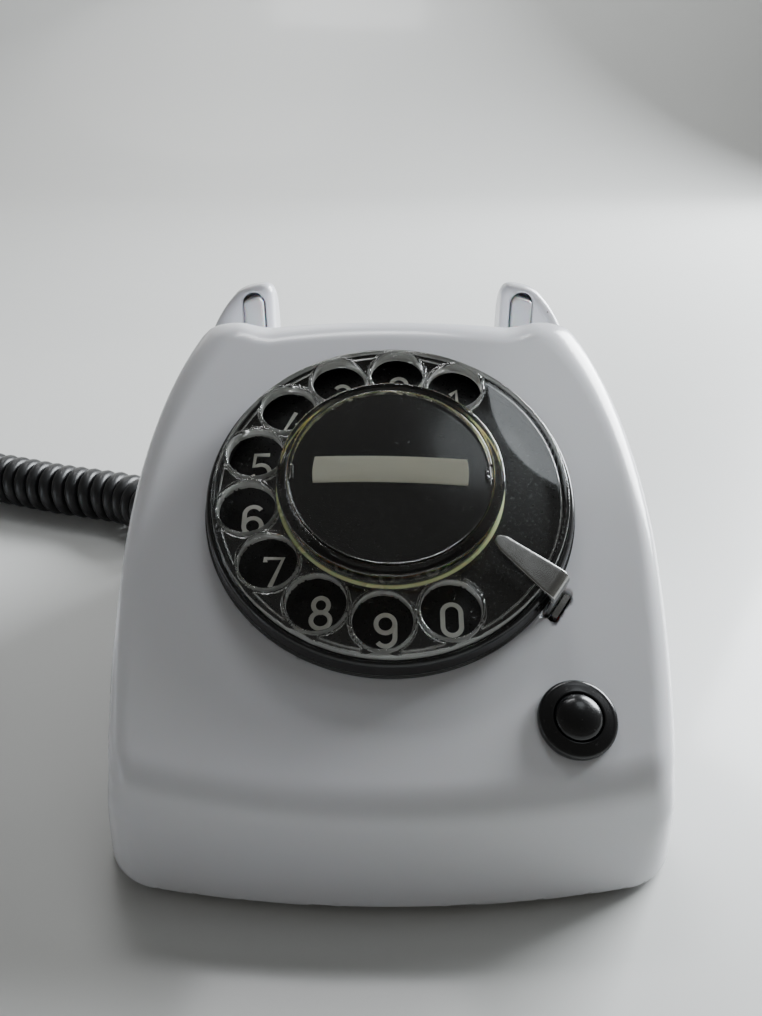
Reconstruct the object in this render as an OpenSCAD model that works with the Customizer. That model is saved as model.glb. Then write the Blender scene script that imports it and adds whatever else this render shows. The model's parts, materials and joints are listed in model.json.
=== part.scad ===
// Desk telephone with a rotary dial: wedge housing with a handset cradle, dial mechanism,
// hook switch, bell, earth button, coiled handset cord, handset and line cord.
// Millimetres, +Z up, +Y to the back. The origin is the centre of the footprint on the table.

/* [Housing] */
// Width at the foot of the housing
body_w = 131; // [122:1:150]
// Depth of the housing
body_d = 177; // [172:1:200]
// Gap between the table and the lower edge of the housing
foot_gap = 1.5; // [1:0.1:3]
// Wall thickness of the moulding
wall = 2.6; // [2:0.1:3.2]
// Height of the front lip above the lower edge
lip_h = 27; // [24:0.5:29]
// How far the lip leans back over its height
lip_lean = 1.5; // [0.5:0.1:3]
// Length over which the lip rounds into the deck
lip_blend = 5; // [3:0.5:8]
// Radius of the bowed front, seen from above
front_bow_r = 285; // [250:1:600]
// Radius of the bowed sides, seen from above
side_bow_r = 2500; // [1500:50:5000]
// Radius by which the deck's edges draw in towards the front
deck_bow_r = 310; // [200:5:500]
// Draft of the side walls in degrees
draft = 1; // [0.5:0.1:2]
// Radius of the front corners, seen from above
corner_r = 12.5; // [8:0.5:18]
// Radius of the edge between deck and sides
edge_r = 5.5; // [4:0.5:8]
// Radius of the rear corners, seen from above
rear_corner_r = 16; // [10:0.5:22]

/* [Deck and cradle] */
// Tilt of the dial deck from level in degrees
deck_tilt = 32; // [30:0.5:34]
// Length of the deck between the lip and the bezel of the dial
lip_gap = 27.4; // [26:0.1:30]
// Length of the deck between the bezel of the dial and the ridge
ridge_gap = 9.6; // [8:0.1:11]
// Radius where the deck turns into the ridge
ridge_r = 9.3; // [6:0.1:12]
// Width of the level top of the ridge
ridge_flat = 2; // [1:0.5:5]
// Radius of the cradle trough
trough_r = 17; // [16:0.5:18]
// Depth of the trough below the ridge
trough_depth = 25.2; // [22:0.1:26]
// Height of the horns above the ridge
horn_rise = 3.2; // [2:0.1:5]
// Gap between the two horns
horn_gap = 74; // [68:1:75]
// How much lower the ridge is beside the horns than at its ends
ridge_dip = 1.9; // [0.5:0.1:2.2]

/* [Dial] */
// Radius of the clear finger wheel
wheel_r = 42; // [40:0.5:42.5]
// Distance of the finger holes' centres from the wheel's edge
finger_inset = 8.1; // [7.8:0.1:9]
// Width of the web between two finger holes
finger_web = 1.8; // [1.4:0.1:3]
// Angle between neighbouring finger holes
finger_step = 25.74; // [25:0.01:27]
// Angle of the first finger hole from the right
finger_first = 61; // [55:0.5:65]
// Height of the wheel's face above the deck
wheel_h = 7.9; // [7:0.1:9]
// Height of the hub's cap above the deck
hub_h = 14.2; // [13.5:0.1:16]
// Height of the bezel above the deck
bezel_h = 5.6; // [4:0.1:6]
// Angle of the finger stop from the right
stop_angle = -35.5; // [-38:0.5:-33]

/* [Controls] */
// Distance of the earth button from the right side at the foot
button_in = 26.5; // [24:0.5:32]
// Distance of the earth button from the lip, up the deck
button_up = 18.5; // [17:0.5:19]
// Radius of the button's bezel
button_bezel_r = 8.4; // [7.5:0.1:9]
// Radius of the button
button_r = 5.1; // [4.5:0.1:5.2]
// Travel of the button
button_travel = 2.5; // [2:0.1:3]
// Distance of each hook plunger from the centre
plunger_x = 43.5; // [43:0.5:44]
// Width of a hook plunger
plunger_w = 6.4; // [5:0.1:6.6]
// Travel of the hook plungers
hook_travel = 7; // [5:0.5:8]

/* [Handset] */
// Distance between the centres of the two caps
cap_span = 172; // [166:1:180]
// Radius of the ear cap
ear_r = 26; // [24:0.5:27]
// Radius of the mouth cap
mouth_r = 27; // [25:0.5:28]
// Width of the grip
grip_w = 29; // [25:0.5:32]
// Thickness of the grip
grip_t = 20; // [17:0.5:22]
// Height of the middle of the grip above the caps' faces
grip_z = 50; // [46:0.5:54]

/* [Cords] */
// Diameter of the line cord
line_d = 4.5; // [4:0.1:5]
// Outer diameter of the coiled handset cord
curl_d = 20.5; // [18:0.5:22]

/* [Hidden] */

// Radial clearance of a turning shaft in its bore
run_gap = 0.05;
// Clearance round a piece that slides in a moulded opening
slide_gap = 0.35;
// Clearance between pieces that pass each other
pass_gap = 0.4;

bezel_r = wheel_r + 2.6;
deck_hole_r = wheel_r + 1.2;
finger_pitch_r = wheel_r - finger_inset;
finger_hole_r = finger_pitch_r*sin(finger_step/2) - finger_web/2;
hub_r = finger_pitch_r - 7.8;
dial_up = bezel_r + lip_gap;
ridge_up = bezel_r + ridge_gap;

front_y = -body_d/2;
back_y = body_d/2;
dial_y = front_y + lip_lean + dial_up*cos(deck_tilt);
dial_z = foot_gap + lip_h + dial_up*sin(deck_tilt);
ridge_y = dial_y + ridge_up*cos(deck_tilt) + ridge_r*sin(deck_tilt);
ridge_z = dial_z + ridge_up*sin(deck_tilt) - ridge_r*cos(deck_tilt);
ridge_top = ridge_z + ridge_r;
ridge_back_r = 3;
trough_y = ridge_y + ridge_flat + ridge_back_r + trough_r;
trough_z = ridge_top - trough_depth;
body_h = ridge_top + horn_rise;
horn_y = trough_y + trough_r;
horn_front_r = 3.5;
horn_back_r = 14;
rear_lean = 5;
shoulder_z = 0.55*body_h;
shoulder_h = 0.48*body_h;
shoulder_x = 28;
shoulder_power = 2.15;
bow_from = dial_y;

module on_deck() translate([0, dial_y, dial_z]) rotate([deck_tilt, 0, 0]) children();
module both_sides() for (m = [0, 1]) mirror([m, 0, 0]) children();

function arc(c, r, a0, a1, n) = [for (i = [0:n]) let (a = a0 + (a1 - a0)*i/n) c + r*[cos(a), sin(a)]];
function between(p, q, n) = [for (i = [1:n - 1]) p + (q - p)*i/n];
function soft_max(a, b, k) = let (h = max(k - abs(a - b), 0)/k) max(a, b) + h*h*k/4;
function clamp01(t) = max(0, min(1, t));

// ---------------------------------------------------------------- housing
// Half width of the form at height z, drawn in by the draft and rounded off at the shoulders.
// The value o insets every surface, so the cavity follows the outside at one wall thickness.
function half_w(z, o) = let (
    t = z - foot_gap,
    a = body_w/2 - shoulder_z*tan(draft) - shoulder_x - o,
    s = clamp01((t - shoulder_z)/(shoulder_h - o)))
  t < shoulder_z ? body_w/2 - o - t*tan(draft)
    : shoulder_x + a*pow(1 - pow(s, shoulder_power), 1/shoulder_power);
// Front edge at height z and distance x from the centre: the bowed lip, the deck, the ridge's round front
function lip_y(z, o) = front_y + o + (z - foot_gap)*lip_lean/lip_h;
function deck_y(z, o) = dial_y + (z - dial_z)/tan(deck_tilt) + o/sin(deck_tilt);
function ridge_front(z, o) = ridge_y - sqrt(max(0, pow(ridge_r - o, 2) - pow(max(0, z - ridge_z), 2)));
function ridge_start(o) = ridge_z + (ridge_r - o)*cos(deck_tilt);
function front_edge(x, z, o) = z > ridge_start(o) ? ridge_front(z, o)
  : soft_max(lip_y(z, o) + x*x/2/front_bow_r, deck_y(z, o), lip_blend);
function rear_edge(z, o) = let (
    c = body_h - horn_back_r,
    y = back_y - o - (min(z, c) - foot_gap)*tan(rear_lean))
  z < c ? y : y - (horn_back_r - o) + sqrt(max(0, pow(horn_back_r - o, 2) - pow(z - c, 2)));

// How far the sides draw in at y: evenly bowed at the foot, and more to the front towards the deck
function bow(y, z) = y*y/2/side_bow_r
  + pow(min(0, y - bow_from), 2)/2/deck_bow_r*clamp01((z - foot_gap)/lip_h);

corner_steps = 5;
side_steps = 5;
front_steps = 8;
function corner(c, rx, ry, a0) = [for (i = [0:corner_steps]) let (a = a0 + 90*i/corner_steps)
  [c[0] + rx*cos(a), c[1] + ry*sin(a)]];
// One level of the form: a rectangle with round corners, bowed at the front and at the sides
function level(z, o) = let (
    w = half_w(z, o),
    yf = front_edge(0, z, o),
    yr = rear_edge(z, o),
    half_d = (yr - yf)/2 - 1,
    foot_share = 1 - clamp01((z - foot_gap)/lip_h/0.7),
    slant = 1 + (1/sin(deck_tilt) - 1)*clamp01((z - foot_gap - lip_h)/12),
    rx = edge_r + (corner_r - edge_r)*foot_share - o,
    ry = min(rx*slant, half_d),
    rr = min(rear_corner_r - o, half_d),
    front = corner([w - rx, yf + ry], rx, ry, 270),
    rear = corner([w - rr, yr - rr], rr, rr, 0),
    rear_left = [for (i = [corner_steps:-1:0]) [-rear[i][0], rear[i][1]]],
    front_left = [for (i = [corner_steps:-1:0]) [-front[i][0], front[i][1]]],
    outline = concat(
      front, between(front[corner_steps], rear[0], side_steps),
      rear, between(rear[corner_steps], rear_left[0], front_steps),
      rear_left, between(rear_left[corner_steps], front_left[0], side_steps),
      front_left, between(front_left[corner_steps], front[0], front_steps)))
  [for (p = outline) let (
      x = p[0]*(1 - bow(p[1], z)/w),
      lead = (yr - p[1])/(yr - yf))
    [x, p[1] + (front_edge(x, z, o) - yf)*lead, z]];
level_steps = 8;
function levels(o) = concat([0, lip_h/2],
  [for (h = [-6, -3, -1, 1.5, 3.5, 7, 13]) lip_h + h],
  [for (i = [1:level_steps]) lip_h + 13 + (ridge_start(o) - lip_h - 13)*i/level_steps],
  [ridge_top - o - 0.3],
  [for (i = [0:3]) ridge_top - o + horn_rise*i/3]);
module skin(o) {
  rings = [for (z = levels(o)) level(z, o)];
  n = len(rings[0]);
  m = len(rings);
  middle = function(r) [0, (min([for (p = r) p[1]]) + max([for (p = r) p[1]]))/2, r[0][2]];
  points = concat([for (r = rings) for (p = r) p], [middle(rings[0]), middle(rings[m - 1])]);
  faces = [
    for (j = [0:m - 2]) for (i = [0:n - 1]) let (a = j*n + i, b = j*n + (i + 1)%n)
      each [[a, a + n, b + n], [a, b + n, b]],
    for (i = [0:n - 1]) [m*n, i, (i + 1)%n],
    for (i = [0:n - 1]) let (k = (m - 1)*n) [m*n + 1, k + (i + 1)%n, k + i]];
  polyhedron(points, faces);
}

// What is open above the ridge and the trough, seen from the side
function cradle_profile(o) = concat(
  [[-2*body_d, ridge_top - o]],
  arc([ridge_y + ridge_flat, ridge_top - ridge_back_r], max(0.1, ridge_back_r - o), 90, 0, 5),
  arc([trough_y, trough_z + trough_r], trough_r + o, 180, 360, 20),
  arc([horn_y + horn_front_r, body_h - horn_front_r], max(0.1, horn_front_r - o), 180, 90, 5),
  [[horn_y + horn_front_r, body_h + 20], [-2*body_d, body_h + 20]]);
// What is taken off the ridge between the horns: lowest beside them, higher in the middle
crown_rise = 1.9;
crown_half = horn_gap/2;
crown_blend = 3;
function smooth(t) = let (c = clamp01(t)) c*c*(3 - 2*c);
function crown_dip(x) = ridge_dip*smooth((crown_half + crown_blend - abs(x))/2/crown_blend)
  - crown_rise*max(0, 1 - pow(x/crown_half, 2));
function crown_profile(o) = let (half = crown_half + 0.9*crown_blend) concat(
  [for (i = [-20:20]) let (x = half*i/20) [x, ridge_top - o - crown_dip(x)]],
  [[half, body_h + 20], [-half, body_h + 20]]);
module form(o) difference() {
  skin(o);
  translate([-body_w, 0, 0]) rotate([90, 0, 90]) linear_extrude(2*body_w) polygon(cradle_profile(o));
  translate([0, trough_y, 0]) rotate([90, 0, 0]) linear_extrude(trough_r + 20) polygon(crown_profile(o));
  translate([-horn_gap/2 - o, trough_y, trough_z - o]) cube([horn_gap + 2*o, body_d, body_h]);
}

post_r = 4;
screw_r = 1.6;
screw_hole_r = 1.7;
front_post = [body_w/2 - 13.5, front_y + 40];
rear_post = [body_w/2 - 12.5, trough_y];
plate_z = foot_gap + 0.5;
plate_t = 1.2;
plate_top = plate_z + plate_t;
module post(p, top) translate([p[0], p[1], plate_top])
  cylinder(r = post_r, h = top - plate_top, $fn = 32);
module post_hole(p) translate([p[0], p[1], plate_top - 1]) cylinder(r = screw_hole_r, h = 16, $fn = 32);
function deck_z(y) = dial_z + (y - dial_y)*tan(deck_tilt);

case_r = wheel_r;
stop_leg_r = bezel_r + 0.5;
stop_t = 1.2;
stop_w = 7.2;
stop_foot_r = case_r + 0.3;
plunger_d = 5.8;
plunger_y = horn_y - 1.9 + plunger_d/2;
plunger_top = body_h - 3.8;
slot_gap = slide_gap;
lug_angles = [90, 200, 300];
lug_r = deck_hole_r + 5.8;
curl_y = back_y - 21;
curl_exit_z = 12;
curl_exit = [bow(curl_y, curl_exit_z) - half_w(curl_exit_z, 0), curl_y, curl_exit_z];
line_exit = [-12, back_y - 0.6, 9];
grommet_r = 4.4;
relief_r = 4.2;

// Slot in the deck for the finger stop, in the dial's own frame
module stop_slot() rotate(stop_angle) translate([stop_leg_r - 0.3, -stop_w/2 - 0.6, -wall - 2])
  cube([stop_t + 1.5, stop_w + 1.2, wall + 4]);
module plunger_slot() translate([plunger_x, 0, 0]) {
  half = plunger_w/2 + slot_gap;
  translate([-half, plunger_y - plunger_d/2 - slot_gap - 6, 58])
    cube([2*half, plunger_d + 2*slot_gap + 6, plunger_top - plunger_w/2 - 58]);
  translate([0, plunger_y + plunger_d/2 + slot_gap, plunger_top - plunger_w/2]) rotate([90, 0, 0])
    cylinder(r = half, h = plunger_d + 2*slot_gap + 6, $fn = 48);
}
module housing() color("#e8e8ec") difference() {
  union() {
    difference() {
      form(0);
      form(wall);
      translate([-body_w, -body_d, -10]) cube([2*body_w, 2*body_d, 10 + foot_gap]);
    }
    both_sides() {
      post(front_post, deck_z(front_post[1]) - wall*0.8);
      post(rear_post, trough_z - wall*0.5);
    }
  }
  both_sides() {
    post_hole(front_post);
    post_hole(rear_post);
    plunger_slot();
  }
  on_deck() {
    translate([0, 0, -20]) cylinder(r = deck_hole_r, h = 40, $fn = 120);
    stop_slot();
    translate([button_x, -button_down, -10]) cylinder(r = button_neck_r + 0.1, h = 20, $fn = 64);
    for (a = lug_angles) rotate(a) translate([lug_r - 2.4, 0, -wall - 1])
      cylinder(r = 1.35, h = wall + 0.1, $fn = 32);
  }
  translate([curl_exit[0] - 10, curl_exit[1], curl_exit[2]]) rotate([0, 90, 0])
    cylinder(r = grommet_r + 0.05, h = 20, $fn = 48);
  translate([line_exit[0], back_y - 10, line_exit[2]]) rotate([-90, 0, 0])
    cylinder(r = relief_r + 0.05, h = 20, $fn = 48);
}

// ---------------------------------------------------------------- base
function outline(z, o) = [for (p = level(z, o)) [p[0], p[1]]];
foot_places = [[body_w/2 - 18.5, front_y + 16.5], [body_w/2 - 18.5, back_y - 22.5]];
foot_r = 6.5;
ringer_x = 26;
ringer_y = trough_y - 1.9;
wheel_place = [19.5 - body_w/2, 6];
board_place = [19.5 - body_w/2, front_y + 12.5];
standoffs = [for (x = [4, 50]) for (y = [4, 38]) board_place + [x, y]];
board_z = 9;
module base_plate() color("#8d9297") difference() {
  union() {
    translate([0, 0, plate_z]) linear_extrude(plate_t) polygon(outline(plate_top, wall + pass_gap));
    for (p = standoffs) translate([p[0], p[1], plate_top])
      cylinder(r = 2.6, h = board_z - plate_top, $fn = 32);
    translate([wheel_place[0], wheel_place[1], plate_top]) cylinder(r = 2, h = 5.2, $fn = 32);
  }
  both_sides() for (p = foot_places) translate([p[0], p[1], 0]) cylinder(r = 2.5, h = 10, $fn = 32);
  both_sides() for (p = [front_post, rear_post]) translate([p[0], p[1], 0])
    cylinder(r = screw_hole_r, h = 10, $fn = 32);
  for (p = standoffs) translate([p[0], p[1], board_z - 5]) cylinder(r = 1.1, h = 6, $fn = 24);
  translate([wheel_place[0], wheel_place[1], plate_z - 1]) rotate(120) translate([3.5, -6, 0])
    cube([4.5, 12, 4]);
}
module feet() color("#2b2b2d") both_sides() for (p = foot_places) translate([p[0], p[1], 0])
  rotate_extrude($fn = 48)
  polygon([[0, 0], [foot_r - 0.8, 0], [foot_r, 0.8], [foot_r - 0.3, plate_z], [2.45, plate_z],
    [2.45, plate_top + 1.4], [0, plate_top + 1.4]]);
// A screw with its head downwards at z = 0 and its shank going up
module screw(r, length, head_r, head_h) {
  difference() {
    translate([0, 0, -head_h]) cylinder(r = head_r, h = head_h, $fn = 32);
    translate([-head_r, -0.35, -head_h - 1]) cube([2*head_r, 0.7, 1.6]);
  }
  cylinder(r = r, h = length, $fn = 32);
}
module base_screws() color("silver") both_sides() for (p = [front_post, rear_post])
  translate([p[0], p[1], plate_z]) screw(screw_r, 14, 3.2, 1.2);

// ---------------------------------------------------------------- dial
wheel_t = 2.2;
frame_t = 1.2;
frame_h = -wall;
shaft_r = 3;
bridge_h = -23.3;
case_h = -28;
impulse_r = 1.5;
governor_r = 1.2;
gear_module = (case_r - 1.6)/50.5;
first_teeth = 56;
first_pinion_teeth = 14;
second_module = 0.625*gear_module;
second_teeth = 48;
second_pinion_teeth = 12;
first_distance = gear_module*(first_teeth + first_pinion_teeth)/2;
second_distance = second_module*(second_teeth + second_pinion_teeth)/2;
impulse_angle = 200;
governor_angle = -40;
impulse_place = first_distance*[cos(impulse_angle), sin(impulse_angle)];
governor_place = impulse_place + second_distance*[cos(governor_angle), sin(governor_angle)];
gear_h = -8;
second_h = -20;
bridge_posts = [60, 130, 300];
bridge_r = case_r - 3.5;
bridge_post_r = bridge_r - 3.5;
cam_r = 6.75*gear_module;
drum_r = second_distance - cam_r - 1.1;

module dial_bezel() color("#141416") on_deck() rotate_extrude($fn = 180) polygon([
  [deck_hole_r - 0.8, frame_h], [deck_hole_r - 0.2, frame_h], [deck_hole_r - 0.2, 0],
  [bezel_r, 0], [bezel_r, 1.1],
  [bezel_r - 0.4, 1.3], [bezel_r - 1, bezel_h - 0.5], [bezel_r - 1.4, bezel_h], [bezel_r - 2, bezel_h],
  [deck_hole_r - 0.8, bezel_h - 0.4]]);
module number_plate() color("#101012") on_deck() rotate_extrude($fn = 120) polygon([
  [8, 0.1], [deck_hole_r - 4.7, 0.1], [deck_hole_r - 4.7, frame_h], [deck_hole_r - 3.2, frame_h],
  [deck_hole_r - 3.2, 0.1], [deck_hole_r - 1.7, 0.1], [deck_hole_r - 1.7, 0.9], [8, 0.9]]);
module dial_frame() color("#b9bcc0") on_deck() difference() {
  union() {
    translate([0, 0, frame_h - frame_t]) cylinder(r = deck_hole_r - 1, h = frame_t, $fn = 120);
    translate([0, 0, -5.4]) cylinder(r = 6, h = 5.4 - 0.2, $fn = 48);
    for (a = lug_angles) rotate(a) translate([20, -4, frame_h - frame_t]) cube([lug_r - 20, 8, frame_t]);
    rotate(stop_angle) translate([30, -stop_w/2, frame_h - frame_t])
      cube([stop_leg_r - 30.05, stop_w, frame_t]);
    for (a = bridge_posts) rotate(a) translate([bridge_post_r, 0, bridge_h])
      cylinder(r = 2.2, h = frame_h - frame_t/2 - bridge_h, $fn = 32);
  }
  translate([0, 0, -10]) cylinder(r = shaft_r + run_gap, h = 20, $fn = 48);
  translate([impulse_place[0], impulse_place[1], -10])
    cylinder(r = impulse_r + run_gap, h = 20, $fn = 32);
  for (a = lug_angles) rotate(a) translate([lug_r - 2.4, 0, -10]) cylinder(r = 1.35, h = 20, $fn = 32);
}
module dial_bridge() color("#c9a227") on_deck() difference() {
  translate([0, 0, bridge_h - frame_t]) cylinder(r = bridge_r, h = frame_t, $fn = 96);
  translate([0, 0, -40]) cylinder(r = shaft_r + run_gap, h = 40, $fn = 48);
  translate([impulse_place[0], impulse_place[1], -40])
    cylinder(r = impulse_r + run_gap, h = 40, $fn = 32);
  translate([governor_place[0], governor_place[1], -40])
    cylinder(r = governor_r + run_gap, h = 40, $fn = 32);
}
module dial_case() color("#d9d9d0") on_deck() difference() {
  translate([0, 0, case_h]) cylinder(r = case_r, h = frame_h - frame_t - case_h, $fn = 120);
  translate([0, 0, case_h + 1]) cylinder(r = case_r - 1, h = 40, $fn = 120);
}
module dial_screws() color("silver") on_deck() for (a = lug_angles) rotate(a)
  translate([lug_r - 2.4, 0, frame_h - frame_t])
  screw(1.3, frame_t + wall - 1, 2.4, 1.4);
module finger_stop() color("#c4c6c8") on_deck() rotate(stop_angle) {
  top = wheel_h + 1.6;
  translate([0, 0, top - stop_t]) linear_extrude(stop_t) polygon(concat(
    arc([finger_pitch_r - 4.9, 0], 1.8, 250, 110, 8),
    [[stop_leg_r - 0.7, stop_w/2], [stop_leg_r + stop_t, stop_w/2],
      [stop_leg_r + stop_t, -stop_w/2], [stop_leg_r - 0.7, -stop_w/2]]));
  translate([stop_leg_r, -stop_w/2, frame_h - frame_t - stop_t])
    cube([stop_t, stop_w, top - frame_h + frame_t + stop_t]);
  translate([stop_foot_r, -stop_w/2, frame_h - frame_t - stop_t])
    cube([stop_leg_r - stop_foot_r + 0.5, stop_w, stop_t]);
}

function involute(rb, r) = let (c = acos(min(1, rb/r))) tan(c)*180/PI - c;
// Half angle of a tooth at radius r, for a pressure angle of 25 degrees and a little backlash
pressure = 25;
backlash = 0.1;
function tooth_half(n, m, r) = let (p = n*m/2, rb = p*cos(pressure))
  90/n - backlash/p*45/PI*2 + involute(rb, p) - involute(rb, max(r, rb));
function tooth(n, m) = let (p = n*m/2, root = p - 1.1*m, tip = p + 0.8*m, steps = 3,
    radii = concat([root], [for (i = [0:steps]) max(root, p*cos(pressure))
      + (tip - max(root, p*cos(pressure)))*i/steps]))
  concat([for (r = radii) [r, -tooth_half(n, m, r)]],
    [for (i = [len(radii) - 1:-1:0]) [radii[i], tooth_half(n, m, radii[i])]]);
function gear_points(n, m) = [for (i = [0:n - 1]) for (q = tooth(n, m))
  q[0]*[cos(q[1] + 360*i/n), sin(q[1] + 360*i/n)]];
module gear(n, m, h) linear_extrude(h) polygon(gear_points(n, m));

module main_gear() color("#b8860b") on_deck() difference() {
  union() {
    translate([0, 0, gear_h]) rotate(impulse_angle) gear(first_teeth, gear_module, 2);
    translate([0, 0, gear_h - 3]) cylinder(r = 6, h = 3, $fn = 48);
  }
  translate([0, 0, gear_h - 10]) cylinder(r = shaft_r, h = 20, $fn = 48);
  for (a = [30:60:330]) rotate(a) translate([17.5*gear_module, 0, gear_h - 1])
    cylinder(r = 5*gear_module, h = 4, $fn = 32);
}
module dial_shaft() color("#9a9da1") on_deck() {
  translate([0, 0, bridge_h - frame_t - 1])
    cylinder(r = shaft_r, h = wheel_h + 1.4 - bridge_h + frame_t + 1, $fn = 48);
  translate([0, 0, 0]) cylinder(r = 5, h = wheel_h - wheel_t - 2, $fn = 48);
  translate([0, 0, wheel_h]) cylinder(r = 5.5, h = 1.4, $fn = 6);
}
finger_angles = [for (i = [0:9]) finger_first + finger_step*i];
collar_t = 0.65;
module finger_wheel() color("#dfe4e6", 0.45) on_deck() difference() {
  union() {
    rotate_extrude($fn = 180) polygon([
      [shaft_r, wheel_h - wheel_t - 2], [7, wheel_h - wheel_t - 2], [7, wheel_h - wheel_t],
      [wheel_r - 1.5, wheel_h - wheel_t], [wheel_r - 1.5, wheel_h - 3.4], [wheel_r, wheel_h - 3.4],
      [wheel_r, wheel_h - 0.6], [wheel_r - 0.6, wheel_h], [hub_r, wheel_h], [hub_r - 0.5, hub_h - 1.3],
      [hub_r - 2.4, hub_h - 1.3], [hub_r - 2.7, wheel_h], [shaft_r, wheel_h]]);
    for (a = finger_angles) rotate(a) translate([finger_pitch_r, 0, wheel_h - 3.2])
      cylinder(r = finger_hole_r + collar_t, h = 2.2, $fn = 64);
  }
  for (a = finger_angles) rotate(a) translate([finger_pitch_r, 0, 0])
    cylinder(r = finger_hole_r, h = 20, $fn = 64);
}
module hub_cap() color("#dfe4e6", 0.45) on_deck() difference() {
  rotate_extrude($fn = 120) polygon([[0, hub_h - 1.3], [hub_r - 1, hub_h - 1.3],
    [hub_r - 1.2, hub_h - 0.5], [hub_r - 1.9, hub_h], [0, hub_h]]);
  both_sides() translate([hub_r - 3, -1.6, hub_h - 1]) cube([4, 3.2, 2]);
}
module label_disc() color("#161618") on_deck() rotate_extrude($fn = 96) polygon([
  [0, wheel_h + 1.4], [8, wheel_h + 1.4], [8, hub_h - 2.4], [hub_r - 3, hub_h - 2.4],
    [hub_r - 3, hub_h - 1.7], [0, hub_h - 1.7]]);
strip_half = hub_r - 8.4;
module label_strip() color("#d8d4c6") on_deck() rotate(-1.2) translate([-strip_half, -3.3, hub_h - 1.7])
  cube([2*strip_half, 6.6, 0.3]);

module impulse_shaft() color("#c9a227") on_deck() translate([impulse_place[0], impulse_place[1], 0]) {
  translate([0, 0, bridge_h - frame_t - 0.6])
    cylinder(r = impulse_r, h = frame_h - bridge_h + frame_t + 0.2, $fn = 32);
  translate([0, 0, gear_h - 0.2]) rotate(impulse_angle + 180 + 180/first_pinion_teeth)
    gear(first_pinion_teeth, gear_module, 2.4);
  translate([0, 0, second_h]) rotate(governor_angle) gear(second_teeth, second_module, 1.5);
  translate([0, 0, -14.5]) intersection() {
    cylinder(r = cam_r, h = 2, $fn = 48);
    translate([-cam_r, -0.6*cam_r, 0]) cube([2*cam_r, 1.2*cam_r, 2]);
  }
}
module governor() color("#c9a227") on_deck() translate([governor_place[0], governor_place[1], 0]) {
  translate([0, 0, bridge_h - frame_t - 0.6])
    cylinder(r = governor_r, h = -8.9 - bridge_h + frame_t + 0.6, $fn = 32);
  translate([0, 0, second_h - 0.2]) rotate(governor_angle + 180 + 180/second_pinion_teeth)
    gear(second_pinion_teeth, second_module, 1.9);
  for (a = [0, 180]) rotate(a) translate([0, 0, -15]) intersection() {
    difference() {
      cylinder(r = drum_r - 1.6, h = 3.6, $fn = 64);
      translate([0, 0, -1]) cylinder(r = drum_r - 3.9, h = 6, $fn = 48);
    }
    translate([-drum_r, 1.2, 0]) cube([2*drum_r, drum_r, 3.6]);
  }
  translate([2.9 - drum_r, -0.8, -15]) cube([2*drum_r - 5.8, 1.6, 1.2]);
  for (a = [0, 180]) rotate(a) translate([2.9 - drum_r, -0.8, -15]) cube([1.4, 3, 1.2]);
}
module governor_drum() color("#a8abb0") on_deck() translate([governor_place[0], governor_place[1], 0])
  difference() {
  union() {
    translate([0, 0, -16]) cylinder(r = drum_r, h = 7, $fn = 64);
    rotate(-30) translate([0, -2.5, -10]) cube([drum_r + 4, 5, 1]);
    rotate(-30) translate([drum_r + 1.6, -2.5, bridge_h]) cube([2.4, 5, -9 - bridge_h]);
  }
  translate([0, 0, -17]) cylinder(r = drum_r - 1.1, h = 7, $fn = 64);
  translate([0, 0, -20]) cylinder(r = governor_r + run_gap, h = 20, $fn = 32);
}
spring_turns = 4;
spring_r = 16*gear_module;
function spiral(r0, r1, turns, t, n) = concat(
  [for (i = [0:n]) let (a = 360*turns*i/n) (r0 + (r1 - r0)*i/n)*[cos(a), sin(a)]],
  [for (i = [n:-1:0]) let (a = 360*turns*i/n) (r0 + (r1 - r0)*i/n + t)*[cos(a), sin(a)]]);
module mainspring() color("#6f747a") on_deck() {
  translate([0, 0, bridge_h + 0.2]) linear_extrude(2.4)
    polygon(spiral(4.2, spring_r, spring_turns, 0.4, 72));
  translate([spring_r + 0.4, -0.9, bridge_h]) cube([1.8, 1.8, 3]);
}
// Two contact leaves beside the cam, held in a block under the frame plate
contact_x = impulse_place[0] - cam_r - 0.7;
contact_y = impulse_place[1] + 23*gear_module;
module impulse_contacts() color("#d6b35c") on_deck() {
  translate([contact_x - 3.6, contact_y, -16]) cube([6, 9*gear_module, 16 + frame_h - frame_t]);
  for (x = [0, -1.4]) translate([contact_x + x, impulse_place[1] - 3.4, -14.6])
    cube([0.4, contact_y + 1 - impulse_place[1] + 3.4, 2.4]);
}

// ---------------------------------------------------------------- earth button
button_x = body_w/2 - button_in;
button_down = dial_up - button_up;
button_neck_r = 6.9;
button_bore_r = button_r + 0.15;
button_flange_r = 6.2;
cage_depth = 18;
module at_button() on_deck() translate([button_x, -button_down, 0]) children();
module button_bezel() color("#0e0e10") at_button() rotate_extrude($fn = 96) polygon(concat(
  [[button_bore_r, -wall - 1.5], [button_neck_r, -wall - 1.5], [button_neck_r, 0], [button_bezel_r, 0]],
  [for (i = [0:6]) let (a = 90*i/6) [button_bore_r + 0.9 + (button_bezel_r - button_bore_r - 0.9)*cos(a),
    0.6 + 2.2*sin(a)]],
  [[button_bore_r, 2.3]]));
module earth_button() color("#0e0e10") at_button() {
  rotate_extrude($fn = 64) polygon(concat(
    [[0, -wall - 3.2], [button_flange_r, -wall - 3.2], [button_flange_r, -wall - 1.6],
      [button_r, -wall - 1.6]],
    [for (i = [0:6]) let (a = 90*i/6) [button_r*cos(a), 2.4 + 1.4*sin(a)]]));
  translate([0, 0, -wall - 3.2 - 5]) cylinder(r = 1.6, h = 5.2, $fn = 32);
}
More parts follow.
